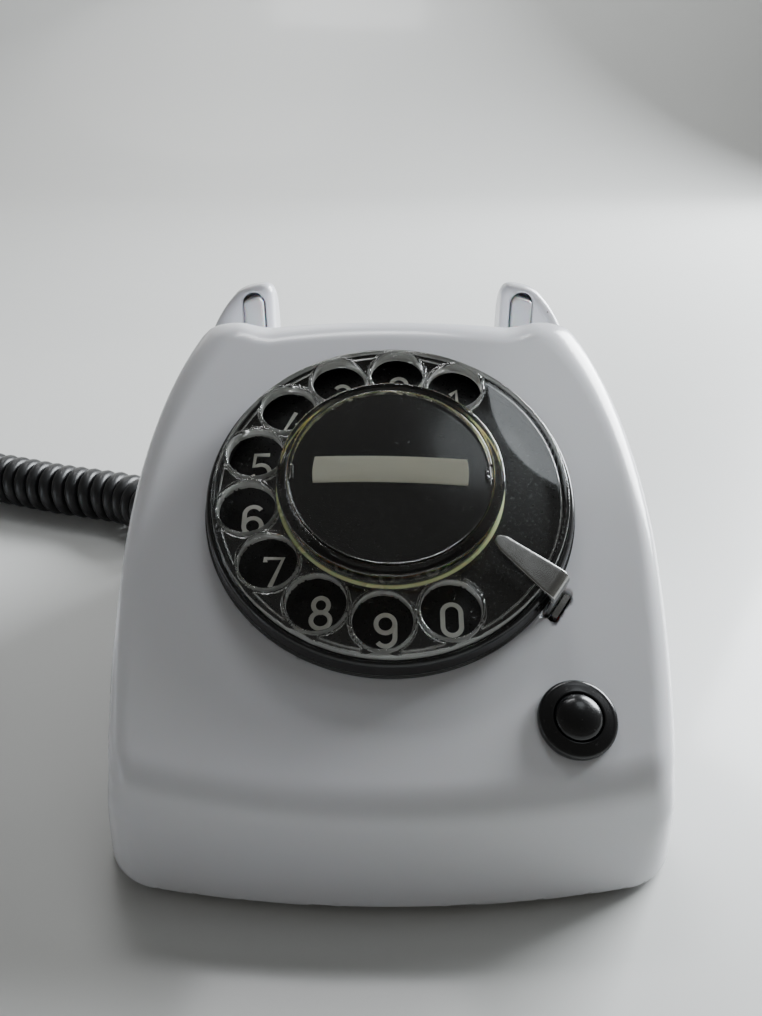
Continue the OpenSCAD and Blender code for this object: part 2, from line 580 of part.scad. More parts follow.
module button_cage() color("#5a5c60") at_button() difference() {
  translate([0, 0, -cage_depth]) cylinder(r = 9.2, h = cage_depth - wall - 0.4, $fn = 64);
  translate([0, 0, -cage_depth + 1.4]) cylinder(r = 7.4, h = cage_depth, $fn = 64);
  translate([-12, -2.5, -cage_depth + 1.4]) cube([24, 5, 4]);
}
module button_contacts() color("#d6b35c") at_button() {
  translate([-11, -1.6, -cage_depth + 1.4]) cube([22, 3.2, 0.4]);
  translate([-11, -1.6, -cage_depth + 3.2]) cube([9, 3.2, 0.4]);
  translate([-11, -1.6, -cage_depth + 1.8]) cube([3, 3.2, 1.4]);
}
// A coil spring as a swept tube, standing on z = 0
function frame_at(p, q) = let (t = (q - p)/norm(q - p),
  u = cross(t, abs(t[2]) > 0.9 ? [1, 0, 0] : [0, 0, 1]), v = u/norm(u)) [v, cross(t, v)];
module tube(points, r, sides) {
  n = len(points);
  rings = [for (i = [0:n - 1]) let (f = frame_at(points[max(0, i - 1)], points[min(n - 1, i + 1)]))
    each [for (k = [0:sides - 1]) points[i] + r*(cos(360*(k + 0.5)/sides)*f[0]
      + sin(360*(k + 0.5)/sides)*f[1])]];
  polyhedron(rings, concat(
    [for (i = [0:n - 2]) for (k = [0:sides - 1]) let (a = i*sides + k, b = i*sides + (k + 1)%sides)
      each [[a, b, b + sides], [a, b + sides, a + sides]]],
    [for (k = [1:sides - 2]) [0, k + 1, k]],
    [for (k = [1:sides - 2]) (n - 1)*sides*[1, 1, 1] + [0, k, k + 1]]));
}
module coil_spring(r, wire, h, turns) tube(
  [for (i = [0:10*turns]) [r*cos(36*i), r*sin(36*i), wire + (h - 2*wire)*i/10/turns]], wire, 5);
module button_spring() color("#9a9da1") at_button() translate([0, 0, -wall - 3.2 - 9.2])
  coil_spring(3.4, 0.35, 9, 4);

// ---------------------------------------------------------------- hook switch
yoke_z = 44;
yoke_t = 2.4;
guide_place = [34, plunger_y + 8];
guide_r = 1.5;
guide_base = 24;
guide_top = trough_z - wall - 8.9;
module hook_plungers() color("#e9eef0", 0.6) both_sides() translate([plunger_x, plunger_y, 0])
  difference() {
  union() {
    translate([-plunger_w/2, -plunger_d/2, yoke_z + yoke_t])
      cube([plunger_w, plunger_d, plunger_top - plunger_w/2 - yoke_z - yoke_t]);
    translate([0, plunger_d/2, plunger_top - plunger_w/2]) rotate([90, 0, 0])
      cylinder(r = plunger_w/2, h = plunger_d, $fn = 48);
  }
  for (m = [0, 1]) mirror([m, 0, 0]) translate([plunger_w/2 - 1.6, 1, 55]) cube([3, plunger_d, 30]);
}
module hook_yoke() color("#b9bcc0") difference() {
  union() {
    translate([-plunger_x - 4, plunger_y - 3, yoke_z]) cube([2*plunger_x + 8, 6, yoke_t]);
    both_sides() translate([guide_place[0] - 4, plunger_y, yoke_z])
      cube([8, guide_place[1] - plunger_y + 4, yoke_t]);
    both_sides() translate([guide_place[0], guide_place[1], yoke_z])
      cylinder(r = 3.4, h = yoke_t + 3, $fn = 48);
  }
  both_sides() translate([guide_place[0], guide_place[1], yoke_z - 1])
    cylinder(r = guide_r + run_gap, h = 20, $fn = 32);
}
module hook_guides() color("#9a9da1") both_sides()
  translate([guide_place[0], guide_place[1], plate_top]) {
  cylinder(r = 4, h = 1.5, $fn = 32);
  cylinder(r = 3.2, h = guide_base - plate_top, $fn = 32);
  cylinder(r = guide_r, h = guide_top - plate_top, $fn = 32);
}
module hook_springs() color("#9a9da1") both_sides()
  translate([guide_place[0], guide_place[1], guide_base + 0.1])
  coil_spring(2.6, 0.4, yoke_z - guide_base - 0.2, 6);
module hook_contacts() color("#d6b35c") {
  translate([-7, trough_y + 8, yoke_z + 12]) cube([14, 7, trough_z - wall - yoke_z - 12]);
  for (x = [-5, 1]) translate([x, trough_y + 9, yoke_z + yoke_t + 2]) {
    translate([0, 0, 0]) cube([4, 0.5, 12]);
    cube([4, plunger_y - trough_y - 8, 0.5]);
    translate([0, plunger_y - trough_y - 9, -1.7]) cube([4, 1.5, 2]);
  }
}

// ---------------------------------------------------------------- bell
gong_r = 20.5;
gong_z = 30;
gong_h = 12;
clapper_z = 22;
pivot_y = ringer_y + 21;
module ringer_frame() color("#b9bcc0") {
  translate([-ringer_x - 3.5, ringer_y - 8, plate_top]) cube([2*ringer_x + 7, 42, 1.5]);
  both_sides() translate([ringer_x, ringer_y, plate_top])
    cylinder(r = 3.5, h = gong_z - 1.2 - plate_top, $fn = 32);
  translate([0, pivot_y, plate_top]) cylinder(r = 1.5, h = 26, $fn = 32);
  translate([0, pivot_y, plate_top]) cylinder(r = 3.5, h = clapper_z - 2.2 - plate_top, $fn = 32);
  translate([-17, ringer_y + 31, plate_top]) cube([34, 2, 26]);
}
module gongs() color("#c8ccd0") both_sides() translate([ringer_x, ringer_y, gong_z])
  rotate_extrude($fn = 96) polygon([
  [1.6, 0], [gong_r - 4, 0], [gong_r - 1, -1.6], [gong_r, -5], [gong_r + 0.4, -gong_h],
    [gong_r - 0.8, -gong_h],
  [gong_r - 1.2, -5], [gong_r - 1.9, -2.5], [gong_r - 4.4, -1.2], [1.6, -1.2]]);
module gong_screws() color("silver") both_sides() translate([ringer_x, ringer_y, gong_z]) {
  translate([0, 0, 0]) cylinder(r = 4, h = 2, $fn = 6);
  translate([0, 0, -1.2]) cylinder(r = 1.55, h = 2, $fn = 32);
}
module ringer_coils() color("#a0522d") both_sides() translate([9, ringer_y + 31, clapper_z])
  rotate([90, 0, 0]) {
  cylinder(r = 2.5, h = 7, $fn = 32);
  translate([0, 0, 0]) cylinder(r = 7, h = 0.8, $fn = 48);
  translate([0, 0, 5]) cylinder(r = 7, h = 0.8, $fn = 48);
  translate([0, 0, 0.8]) cylinder(r = 6.2, h = 4.2, $fn = 48);
}
module clapper() color("#8d9297") difference() {
  union() {
    translate([0, pivot_y, clapper_z - 2]) cylinder(r = 3.2, h = 4, $fn = 48);
    translate([-13, pivot_y - 1, clapper_z - 2]) cube([26, 2, 4]);
    translate([0, pivot_y, clapper_z]) rotate([90, 0, 0])
      cylinder(r = 0.8, h = pivot_y - ringer_y, $fn = 24);
    translate([0, ringer_y, clapper_z]) sphere(r = 3, $fn = 48);
  }
  translate([0, pivot_y, clapper_z - 5]) cylinder(r = 1.5 + run_gap, h = 10, $fn = 32);
}
knurl_count = 28;
module volume_wheel() color("#e8e8ec") translate([wheel_place[0], wheel_place[1], plate_top + 0.3])
  difference() {
  linear_extrude(3.2) polygon([for (i = [0:2*knurl_count - 1]) (i%2 == 0 ? 9
    : 8.3)*[cos(180*i/knurl_count), sin(180*i/knurl_count)]]);
  translate([0, 0, -1]) cylinder(r = 2 + run_gap, h = 6, $fn = 32);
}

// ---------------------------------------------------------------- circuit
board_t = 1.6;
board_top = board_z + board_t;
module circuit_board() color("#7a5c2e") difference() {
  translate([board_place[0], board_place[1], board_z]) cube([54, 42, board_t]);
  for (p = standoffs) translate([p[0], p[1], board_z - 1]) cylinder(r = 1.3, h = 4, $fn = 24);
}
module board_screws() color("silver") for (p = standoffs) translate([p[0], p[1], board_top])
  mirror([0, 0, 1]) screw(1.05, 5, 2.2, 1.2);
module capacitor() color("#c9b27a") translate([board_place[0] + 8, board_place[1] + 12, board_top])
  cube([26, 11, 14]);
module induction_coil() color("#5b3a29") {
  translate([board_place[0] + 37, board_place[1] + 10, board_top]) difference() {
    cube([12, 22, 9]);
    translate([-1, 4, 2.5]) cube([14, 3.5, 4]);
    translate([-1, 14.5, 2.5]) cube([14, 3.5, 4]);
  }
}
module terminal_block() color("#d8d8d0") translate([board_place[0] + 60, board_place[1] + 2, plate_top])
  difference() {
  cube([24, 12, 9]);
  for (i = [0:3]) translate([3 + 6*i, 6, 4]) cylinder(r = 1.6, h = 8, $fn = 24);
}

// ---------------------------------------------------------------- handset
// It lies face down beside the telephone, with its cord end to the back
handset_x = -211;
mouth_y = 24;
ear_y = mouth_y - cap_span;
grip_mid = (mouth_y + ear_y)/2;
cap_h = 11;
cup_top = 34;
grip_drop = 20;
grip_half = cap_span/2 - 8;
grip_arc_r = (grip_half*grip_half + grip_drop*grip_drop)/2/grip_drop;
grip_arc_a = asin(grip_half/grip_arc_r);
module cup(r) rotate_extrude($fn = 96) polygon(concat(
  [[0, cap_h + 0.1], [r - 3.2, cap_h + 0.1], [r - 3.2, cap_h - 4], [r - 2, cap_h - 4],
    [r - 2, cap_h + 0.1], [r - 0.6, cap_h + 0.1]],
  [for (i = [0:8]) let (a = 90*i/8) [(r - 0.6)*pow(cos(a), 0.75),
    cap_h + 2 + (cup_top - cap_h - 2)*pow(sin(a), 0.8)]]));
module handset_shell() color("#e8e8ec") translate([handset_x, 0, 0]) difference() {
  union() {
    translate([0, mouth_y, 0]) cup(mouth_r);
    translate([0, ear_y, 0]) cup(ear_r);
    translate([0, grip_mid, grip_z - grip_arc_r]) rotate([0, 90, 0]) rotate([0, 0, 180 - grip_arc_a])
      rotate_extrude(angle = 2*grip_arc_a, $fn = 180) translate([grip_arc_r, 0]) {
        square([grip_t - 12, grip_w], center = true);
        square([grip_t, grip_w - 12], center = true);
        for (x = [-1, 1]) for (y = [-1, 1]) translate([x*(grip_t/2 - 6), y*(grip_w/2 - 6)])
          circle(r = 6, $fn = 32);
      }
  }
  translate([0, mouth_y, cap_h - 6]) cylinder(r = mouth_r - 6, h = 16, $fn = 64);
  translate([0, ear_y, cap_h - 6]) cylinder(r = ear_r - 6, h = 16, $fn = 64);
  translate([0, mouth_y, bush_z]) rotate([-90, 0, 0]) cylinder(r = 4.05, h = 60, $fn = 48);
}
module cap_form(r) difference() {
  rotate_extrude($fn = 96) polygon([[0, 1.2], [r - 8, 0.6], [r - 4, 0], [r - 1.5, 0.4], [r, 2.5],
    [r, cap_h], [r - 1.8, cap_h],
    [r - 1.8, 3], [0, 3]]);
  for (k = [0:5]) rotate(60*k) translate([6, 0, -1]) cylinder(r = 1.3, h = 6, $fn = 24);
  for (k = [0:11]) rotate(30*k + 15) translate([12, 0, -1]) cylinder(r = 1.3, h = 6, $fn = 24);
  translate([0, 0, -1]) cylinder(r = 1.3, h = 6, $fn = 24);
}
module ear_cap() color("#e8e8ec") translate([handset_x, ear_y, 0]) cap_form(ear_r);
module mouth_cap() color("#e8e8ec") translate([handset_x, mouth_y, 0]) cap_form(mouth_r);
module capsule(r) rotate_extrude($fn = 64) polygon([[0, 3.2], [r, 3.2], [r, 7], [r - 1.5, 9],
  [r - 1.5, 15], [4, 15], [4, 16.5], [0, 16.5]]);
module receiver_capsule() color("#9a9da1") translate([handset_x, ear_y, 0]) capsule(ear_r - 6.3);
module transmitter_capsule() color("#9a9da1") translate([handset_x, mouth_y, 0]) capsule(mouth_r - 6.3);
bush_y = mouth_y + mouth_r + 12;
bush_z = 18;
module handset_bush() color("#101012") translate([handset_x, mouth_y + mouth_r - 6, bush_z])
  rotate([-90, 0, 0]) rotate_extrude($fn = 48)
  polygon([[0, 0], [4, 0], [4, 6.3], [5, 6.3], [5, 8], [3.4, 18], [0, 18]]);

// ---------------------------------------------------------------- cords
curl_z = curl_d/2;
curl_turn_r = 36;
curl_heading = 111;
curl_turn_y = bush_y + 10;
curl_route = concat(
  [curl_exit + [-8.2, 0, 0], curl_exit + [-12, 0, 0], curl_exit + [-19, 4.5, -0.6],
    curl_exit + [-28, 12, -1.5]],
  [[-102, 87, curl_z], [-133, 95.8, curl_z], [-153, 103.4, curl_z]],
  [for (a = [curl_heading:-12:3]) [handset_x + curl_turn_r - curl_turn_r*cos(a),
    curl_turn_y + curl_turn_r*sin(a),
    curl_z + (bush_z - curl_z)*pow(1 - a/curl_heading, 2)]],
  [[handset_x, bush_y + 5, bush_z], [handset_x, bush_y + 0.3, bush_z]]);
module curly_cord() color("#101012") tube(curl_route, curl_d/2*0.99, 12);
module curly_grommet() color("#101012") translate(curl_exit) rotate([0, -90, 0]) rotate_extrude($fn = 48)
  polygon([[0, -5], [6, -5], [6, -3.6], [grommet_r, -3.6], [grommet_r, 1.4], [5.4, 1.4], [5.4, 3],
    [3.4, 8], [0, 8]]);
coil_place = [4, back_y + 63.5];
coil_mid_r = 27;
coil_layers = 3;
coil_half = coil_layers*line_d/2;
relief_end = line_exit + [0, 22, 0];
line_route = concat([relief_end + [0, 0.2, 0]], [for (p = [
    [-12, 24.5, 9], [-14, 30, 7], [-20, 35.5, 4.4], [-26.5, 43, line_d/2], [-30.6, 49.5, line_d/2],
    [-32, 56.5, line_d/2], [-32.6, 63.5, line_d/2], [-32.6, 67.5, line_d/2]]) [p[0], back_y + p[1],
      p[2]]]);
module line_cord_relief() color("#1c1c1e") translate(line_exit) rotate([-90, 0, 0])
  rotate_extrude($fn = 48) polygon([
  [0, -5.4], [5.6, -5.4], [5.6, -3.4], [relief_r, -3.4], [relief_r, 1.2], [5, 1.2], [5, 3],
    [line_d/2 + 0.7, 22], [0, 22]]);
module line_cord() color("#1c1c1e") tube(line_route, line_d/2*0.98, 8);
module line_cord_coil() color("#1c1c1e") translate([coil_place[0], coil_place[1], 0])
  rotate_extrude($fn = 96)
  translate([coil_mid_r - coil_half, 0]) square([2*coil_half, coil_layers*line_d]);
module line_plug() color("#1c1c1e") translate([coil_place[0] + coil_mid_r + coil_half + 0.3,
  coil_place[1] - 6, 0]) {
  cube([11, 22, 8]);
  translate([2, -7, 1.2]) cube([7, 7, 5]);
}

housing();
base_plate();
feet();
base_screws();
dial_bezel();
number_plate();
dial_frame();
dial_bridge();
dial_case();
dial_screws();
finger_stop();
governor_drum();
mainspring();
impulse_contacts();
finger_wheel();
hub_cap();
label_disc();
label_strip();
dial_shaft();
main_gear();
impulse_shaft();
governor();
button_bezel();
button_cage();
button_contacts();
earth_button();
button_spring();
hook_plungers();
hook_yoke();
hook_guides();
hook_springs();
hook_contacts();
ringer_frame();
gongs();
gong_screws();
ringer_coils();
clapper();
volume_wheel();
circuit_board();
board_screws();
capacitor();
induction_coil();
terminal_block();
handset_shell();
ear_cap();
mouth_cap();
receiver_capsule();
transmitter_capsule();
handset_bush();
curly_cord();
curly_grommet();
line_cord_relief();
line_cord();
line_cord_coil();
line_plug();
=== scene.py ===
import json
from math import cos, pi, radians, sin, tan

import bmesh
import bpy
import numpy as np
from bpy.props import FloatProperty, FloatVectorProperty, IntProperty, PointerProperty
from bpy.types import Operator, Panel, PropertyGroup
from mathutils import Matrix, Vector


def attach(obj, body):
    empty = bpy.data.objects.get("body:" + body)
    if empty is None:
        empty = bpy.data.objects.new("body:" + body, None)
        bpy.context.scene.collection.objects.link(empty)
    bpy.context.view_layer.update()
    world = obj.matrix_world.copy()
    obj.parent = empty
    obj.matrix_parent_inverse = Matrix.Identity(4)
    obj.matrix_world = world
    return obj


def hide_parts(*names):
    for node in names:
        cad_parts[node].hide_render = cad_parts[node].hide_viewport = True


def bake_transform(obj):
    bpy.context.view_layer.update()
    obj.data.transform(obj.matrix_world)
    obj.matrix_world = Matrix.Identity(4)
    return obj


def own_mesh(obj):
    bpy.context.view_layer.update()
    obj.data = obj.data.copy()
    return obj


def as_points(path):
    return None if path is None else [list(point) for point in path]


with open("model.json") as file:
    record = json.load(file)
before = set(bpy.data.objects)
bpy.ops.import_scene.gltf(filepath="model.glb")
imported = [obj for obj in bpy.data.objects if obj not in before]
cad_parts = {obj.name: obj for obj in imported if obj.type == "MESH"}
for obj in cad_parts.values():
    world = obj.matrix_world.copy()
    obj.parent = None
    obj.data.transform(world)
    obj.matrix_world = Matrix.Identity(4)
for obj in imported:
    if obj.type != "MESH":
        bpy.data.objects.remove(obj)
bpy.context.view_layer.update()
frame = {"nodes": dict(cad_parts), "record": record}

bl_info = {
    "name": "Rotary Dial Telephone",
    "version": (1, 0, 0),
    "blender": (4, 5, 0),
    "location": "View3D > Sidebar > Telephone",
    "description": "Makes the visible pieces of a desk telephone with a rotary dial",
    "category": "Object",
}

MM = 0.001

# Sizes of the construction, in millimetres, with the origin on the table under the housing's middle.
# Dial deck: its slope, and the middle of the dial on it
TILT = radians(32)
DIAL = (0.0, -25.9405, 66.6542)
# Housing: height of its edge over the table, half width, ends, lip, wall, top and ridge
FOOT = 1.5
HALF_W = 65.5
FRONT, BACK = -88.5, 88.5
LIP, LIP_LEAN = 27.0, 1.5
WALL = 2.6
TOP = 99.3
RIDGE_TOP = 96.789
SIDE_DRAFT, REAR_LEAN, REAR_ROLL = radians(1), radians(5), 14.0
# The sides curve in above the shoulder, as a superellipse round a flat core
SHOULDER, CROWN, CORE, SQUARENESS = 55, 48, 28, 2.15
# Twice the radius of each bow in plan: the sides', the front's above the lip, the lip's own
SIDE_BOW, FRONT_BOW, LIP_BOW = 5000, 620, 570
# Cradle: the trough's axis and radius, half the space between the horns, and the plungers in them
TROUGH_Y, TROUGH_Z, TROUGH_R = 46.952, 71.589, 17.0
GAP = 37.0
PLUNGER_X, PLUNGER_Y, PLUNGER_TOP = 43.5, 64.952, 96.189
# Dial: heights are over the deck. The hub's radius is that of its wall's middle
WHEEL_R, WHEEL_H = 42.0, 7.9
HOLE_PITCH, HOLE_R = 33.9, 6.65
HOLE_ANGLES = np.radians(61 + 25.74*np.arange(10))
HUB_R, HUB_WALL, HUB_H = 25.0, 2.6, 14.2
BEZEL_R, BEZEL_H = 44.6, 5.6
STOP_ANGLE = radians(-35.5)
BUTTON = (39.0, -53.5)
# Handset on the table, and both cords with the plug
HANDSET_X, MOUTH_Y, EAR_Y = -211.0, 24.0, -148.0
MOUTH_R, EAR_R = 27.0, 26.0
CURL_EXIT, CURL_R = np.array([-64.4055, 67.5, 12.0]), 10.25
BUSH = np.array([HANDSET_X, 63.0, 18.0])
LINE_EXIT = np.array([-12.0, 87.9, 9.0])
COIL = np.array([4.0, 152.0])
PLUG = np.array([43.55, 146.0, 4.0])
# Hook springs: their places and ends
SPRING_X, SPRING_Y, SPRING_FOOT, SPRING_HEAD = 34.0, 72.952, 24.1, 43.9

# The stage, in metres and degrees
CAMERA_PLACE, CAMERA_PITCH = (-0.0022, -0.2040, 0.1582), 27.6
FRAME_HEIGHT, FOCUS = 1016, 822
# Each lamp: name, place, the point it looks at, size, power and colour
LAMPS = (("window", (0.85, 0.66, 0.52), (0, 0, 0.03), 0.7, 52.0, (0.93, 0.97, 1.0)),
         ("skylight", (0.39, 0.16, 1.3), (0, 0, 0.03), 0.42, 1.1, (0.90, 0.96, 1.0)),
         ("far side", (-0.5, 1.3, 0.75), (0, 0, 0.03), 0.9, 2.6, (1.0, 0.99, 0.97)),
         ("backdrop", (-0.1, 0.75, 1.35), (-0.15, 1.5, 0.35), 0.5, 10.0, (0.97, 0.98, 1.0)))


# ---------------------------------------------------------------- numbers on grids

def smooth(t):
    """0 below 0, 1 above 1, and t squared times (3 - 2 t) in between."""
    t = np.clip(t, 0, 1)
    return t*t*(3 - 2*t)


def soft_max(a, b, k):
    """The larger of a and b, plus a quarter of k times the square of (1 - |a - b| / k) where that is
    positive."""
    h = np.maximum(k - np.abs(a - b), 0)/k
    return np.maximum(a, b) + h*h*k/4


def soft_min(a, b, k):
    """The smaller of a and b, rounded off where they meet, over a width k."""
    return -soft_max(-a, -b, k)


def round_max(a, b, r):
    """The larger of a and b, with a circle of radius r where both pass -r."""
    return np.minimum(np.maximum(a, b), -r) + np.hypot(np.maximum(a + r, 0), np.maximum(b + r, 0))


def points_of(x, y, z):
    """Rows of (x, y, z) from three arrays or numbers whose shapes broadcast."""
    return np.stack(np.broadcast_arrays(x, y, z), -1)


def on_deck(x, s, h, turn=0.0):
    """Points of deck coordinates: x to the right, s up the slope from the dial's axis, h above it. Before that,
    (x, s) is turned round the axis by an angle."""
    x, s = x*cos(turn) - s*sin(turn), x*sin(turn) + s*cos(turn)
    c, k = cos(TILT), sin(TILT)
    return points_of(x + DIAL[0], DIAL[1] + s*c - h*k, DIAL[2] + s*k + h*c)


def deck_of(x, y, z):
    """Deck coordinates (x, s, h) of a place, the way back from on_deck."""
    c, k = cos(TILT), sin(TILT)
    y, z = y - DIAL[1], z - DIAL[2]
    return x, y*c + z*k, z*c - y*k


def steps(low, high, size, fine=()):
    """Grid lines from low to high, size apart, and closer in each (from, to, size) of fine."""
    lines = np.arange(low, high + size, size)
    for a, b, small in fine:
        coarse = lines[(lines < a - 0.3*size) | (lines > b + 0.3*size)]
        lines = np.concatenate([coarse, np.arange(a, b + small, small)])
    return np.unique(lines.round(6))


# ---------------------------------------------------------------- meshes

def mesh_piece(name, points, faces, normals=None, sharp=35, weld=True, uv=None):
    """An object from points in millimetres, whose shading breaks where faces turn by more than sharp
    degrees."""
    mesh = bpy.data.meshes.new(name)
    mesh.from_pydata(np.asarray(points, float)*MM, [], faces)
    if uv is not None:
        layer = mesh.uv_layers.new(name="UVMap")
        corner = np.empty(len(mesh.loops), np.int32)
        mesh.loops.foreach_get("vertex_index", corner)
        layer.data.foreach_set("uv", np.asarray(uv, np.float32)[corner].ravel())
    if weld:
        made = bmesh.new()
        made.from_mesh(mesh)
        bmesh.ops.remove_doubles(made, verts=made.verts, dist=1e-6)
        bmesh.ops.recalc_face_normals(made, faces=made.faces)
        made.to_mesh(mesh)
        made.free()
    mesh.update()
    mesh.shade_smooth()
    if normals is not None:
        mesh.normals_split_custom_set_from_vertices(normals)
    elif sharp:
        mesh.set_sharp_from_angle(angle=radians(sharp))
    obj = bpy.data.objects.new(name, mesh)
    bpy.context.scene.collection.objects.link(obj)
    return obj


def grid_quads(rows, columns, ring_rows=False, ring_columns=True):
    """The quads of a grid of points, closed round its columns or its rows where that is asked for."""
    r = np.arange(rows if ring_rows else rows - 1)[:, None]
    c = np.arange(columns if ring_columns else columns - 1)[None, :]
    up, on = (r + 1) % rows, (c + 1) % columns
    return np.stack([r*columns + c, r*columns + on, up*columns + on, up*columns + c], -1).reshape(-1, 4)


def fillet(profile, radius, count=4):
    """Each corner of a closed profile becomes a parabola: its ends lie radius away along both sides, and the
    corner is its handle. A corner on the axis stays."""
    p = np.asarray(profile, float)
    r = np.broadcast_to(np.asarray(radius, float), len(p))[:, None]
    before, after = np.roll(p, 1, 0) - p, np.roll(p, -1, 0) - p
    lb, la = np.linalg.norm(before, axis=1)[:, None], np.linalg.norm(after, axis=1)[:, None]
    a = p + before/lb*np.minimum(r, 0.45*lb)
    b = p + after/la*np.minimum(r, 0.45*la)
    t = np.linspace(0, 1, count)[None, :, None]
    curve = (1 - t)**2*a[:, None] + 2*t*(1 - t)*p[:, None] + t*t*b[:, None]
    curve = np.where(p[:, None, :1] < 1e-9, p[:, None], curve)
    return curve.reshape(-1, 2)


def revolved(name, profile, place, turns=128, radius=0.3, sharp=30):
    """Point (r, h) of a closed profile, at angle t round the axis, lands at place(r cos t, r sin t, h)."""
    q = fillet(profile, radius)
    keep = np.linalg.norm(q - np.roll(q, 1, 0), axis=1) > 1e-6
    q = q[keep]
    t = np.linspace(0, 2*pi, turns, endpoint=False)
    points = place(q[:, :1]*np.cos(t), q[:, :1]*np.sin(t), q[:, 1:] + 0*t)
    return mesh_piece(name, points.reshape(-1, 3), grid_quads(len(q), turns, ring_rows=True), sharp=sharp)


def gradient(field, p, reach=0.02):
    """Slope of the field at each point, from the difference over a small step each way."""
    out = np.empty_like(p)
    for a in range(3):
        d = np.zeros(3)
        d[a] = reach
        high, low = p + d, p - d
        out[:, a] = (field(*high.T) - field(*low.T))/(2*reach)
    return out


def solid_skin(name, field, xs, ys, zs, place=None, slides=5):
    """Skin of the solid where field(x, y, z) is below 0. Each grid cell that the skin crosses holds one point,
    the mean of the crossings on its edges, and each crossed grid edge has one quad that joins the four cells
    round it. Then the points slide along the field's slope onto field = 0, and the slope there is their shading
    normal."""
    axes = (xs, ys, zs)
    f = np.broadcast_to(field(xs[:, None, None], ys[None, :, None], zs[None, None, :]), tuple(map(len, axes)))
    inside = f < 0
    cells = np.array([len(a) - 1 for a in axes])
    total, count = np.zeros((cells.prod(), 3)), np.zeros(cells.prod())
    quads = []
    for a in range(3):
        b, c = (a + 1) % 3, (a + 2) % 3
        low = tuple(slice(None, -1) if k == a else slice(None) for k in range(3))
        high = tuple(slice(1, None) if k == a else slice(None) for k in range(3))
        edge = np.argwhere(inside[low] != inside[high])
        fl, fh = f[low][tuple(edge.T)], f[high][tuple(edge.T)]
        p = np.stack([axes[k][edge[:, k]] for k in range(3)], -1)
        p[:, a] += fl/(fl - fh)*(axes[a][edge[:, a] + 1] - axes[a][edge[:, a]])
        around = []
        for db, dc in ((1, 1), (0, 1), (0, 0), (1, 0)):
            cell = edge.copy()
            cell[:, b] -= db
            cell[:, c] -= dc
            good = np.all((cell >= 0) & (cell < cells), axis=1)
            flat = np.where(good, np.ravel_multi_index(np.clip(cell, 0, cells - 1).T, cells), -1)
            around.append(flat)
            for k in range(3):
                total[:, k] += np.bincount(flat[good], weights=p[good, k], minlength=len(total))
            count += np.bincount(flat[good], minlength=len(total))
        around = np.stack(around, -1)
        solid_low = inside[low][tuple(edge.T)]
        around[~solid_low] = around[~solid_low][:, ::-1]
        quads.append(around[np.all(around >= 0, axis=1)])
    used = count > 0
    number = np.cumsum(used) - 1
    points = total[used]/count[used][:, None]
    quads = number[np.concatenate(quads)]
    limit = 0.6*min(np.diff(xs).max(), np.diff(ys).max(), np.diff(zs).max())
    for _ in range(slides):
        g = gradient(field, points)
        step = field(*points.T)[:, None]*g/np.maximum((g*g).sum(1), 0.05)[:, None]
        points = points - step*np.minimum(1, limit/np.maximum(np.linalg.norm(step, axis=1), 1e-9))[:, None]
    normals = gradient(field, points, 0.08)
    normals /= np.maximum(np.linalg.norm(normals, axis=1), 1e-9)[:, None]
    if place is not None:
        origin = place(0.0, 0.0, 0.0)
        normals = place(*normals.T) - origin
        points = place(*points.T)
    return mesh_piece(name, points, quads, normals=normals, weld=False)


def smooth_route(points, step=1.0, reach=8.0):
    """The points joined by straight runs, resampled step apart, then averaged over reach each way by a raised
    cosine, with the route mirrored through each end point, so that both ends stay where they are."""
    p = np.asarray(points, float)
    along = np.concatenate([[0], np.cumsum(np.linalg.norm(np.diff(p, axis=0), axis=1))])
    at = np.linspace(0, along[-1], int(along[-1]/step) + 1)
    q = np.stack([np.interp(at, along, p[:, k]) for k in range(3)], -1)
    n = max(1, int(reach/step))
    window = np.cos(np.linspace(-pi/2, pi/2, 2*n + 1))**2
    window /= window.sum()
    padded = np.concatenate([2*q[0] - q[n:0:-1], q, 2*q[-1] - q[-2:-n - 2:-1]])
    return np.stack([np.convolve(padded[:, k], window, "valid") for k in range(3)], -1)


def directions(path):
    """Unit tangent of a path at each of its points."""
    t = np.gradient(path, axis=0)
    return t/np.linalg.norm(t, axis=1)[:, None]


def tube(name, path, radius, sides, up):
    """Point j round the path's point i is path_i + radius (cos a_j u_i + sin a_j v_i), where u is up less its
    share along the path, and v is the direction crossed with u. The ends close on the centre line."""
    t = directions(path)
    u = up - (up*t).sum(1)[:, None]*t
    u /= np.linalg.norm(u, axis=1)[:, None]
    v = np.cross(t, u)
    a = np.linspace(0, 2*pi, sides, endpoint=False)
    ring = np.cos(a)[None, :, None]*u[:, None] + np.sin(a)[None, :, None]*v[:, None]
    first, last = (np.repeat(path[i][None, None], sides, 1) for i in (0, -1))
    points = np.concatenate([first, path[:, None] + radius*ring, last])
    along = np.concatenate([[0], np.cumsum(np.linalg.norm(np.diff(path, axis=0), axis=1))])*MM
    along = np.concatenate([[0], along, along[-1:]])
    uv = np.stack(np.broadcast_arrays(along[:, None], np.arange(sides)[None]/sides), -1)
    return mesh_piece(name, points.reshape(-1, 3), grid_quads(len(points), sides), uv=uv.reshape(-1, 2), sharp=60)


def rounded_outline(half_x, half_y, r, count=8):
    """Rectangle of these half sides with corners of radius r, as a loop of points."""
    a = np.linspace(0, pi/2, count)
    quarter = np.stack([half_x - r + r*np.cos(a), half_y - r + r*np.sin(a)], -1)
    turn = [quarter, quarter[::-1]*[-1, 1], quarter*[-1, -1], quarter[::-1]*[1, -1]]
    return np.concatenate(turn)


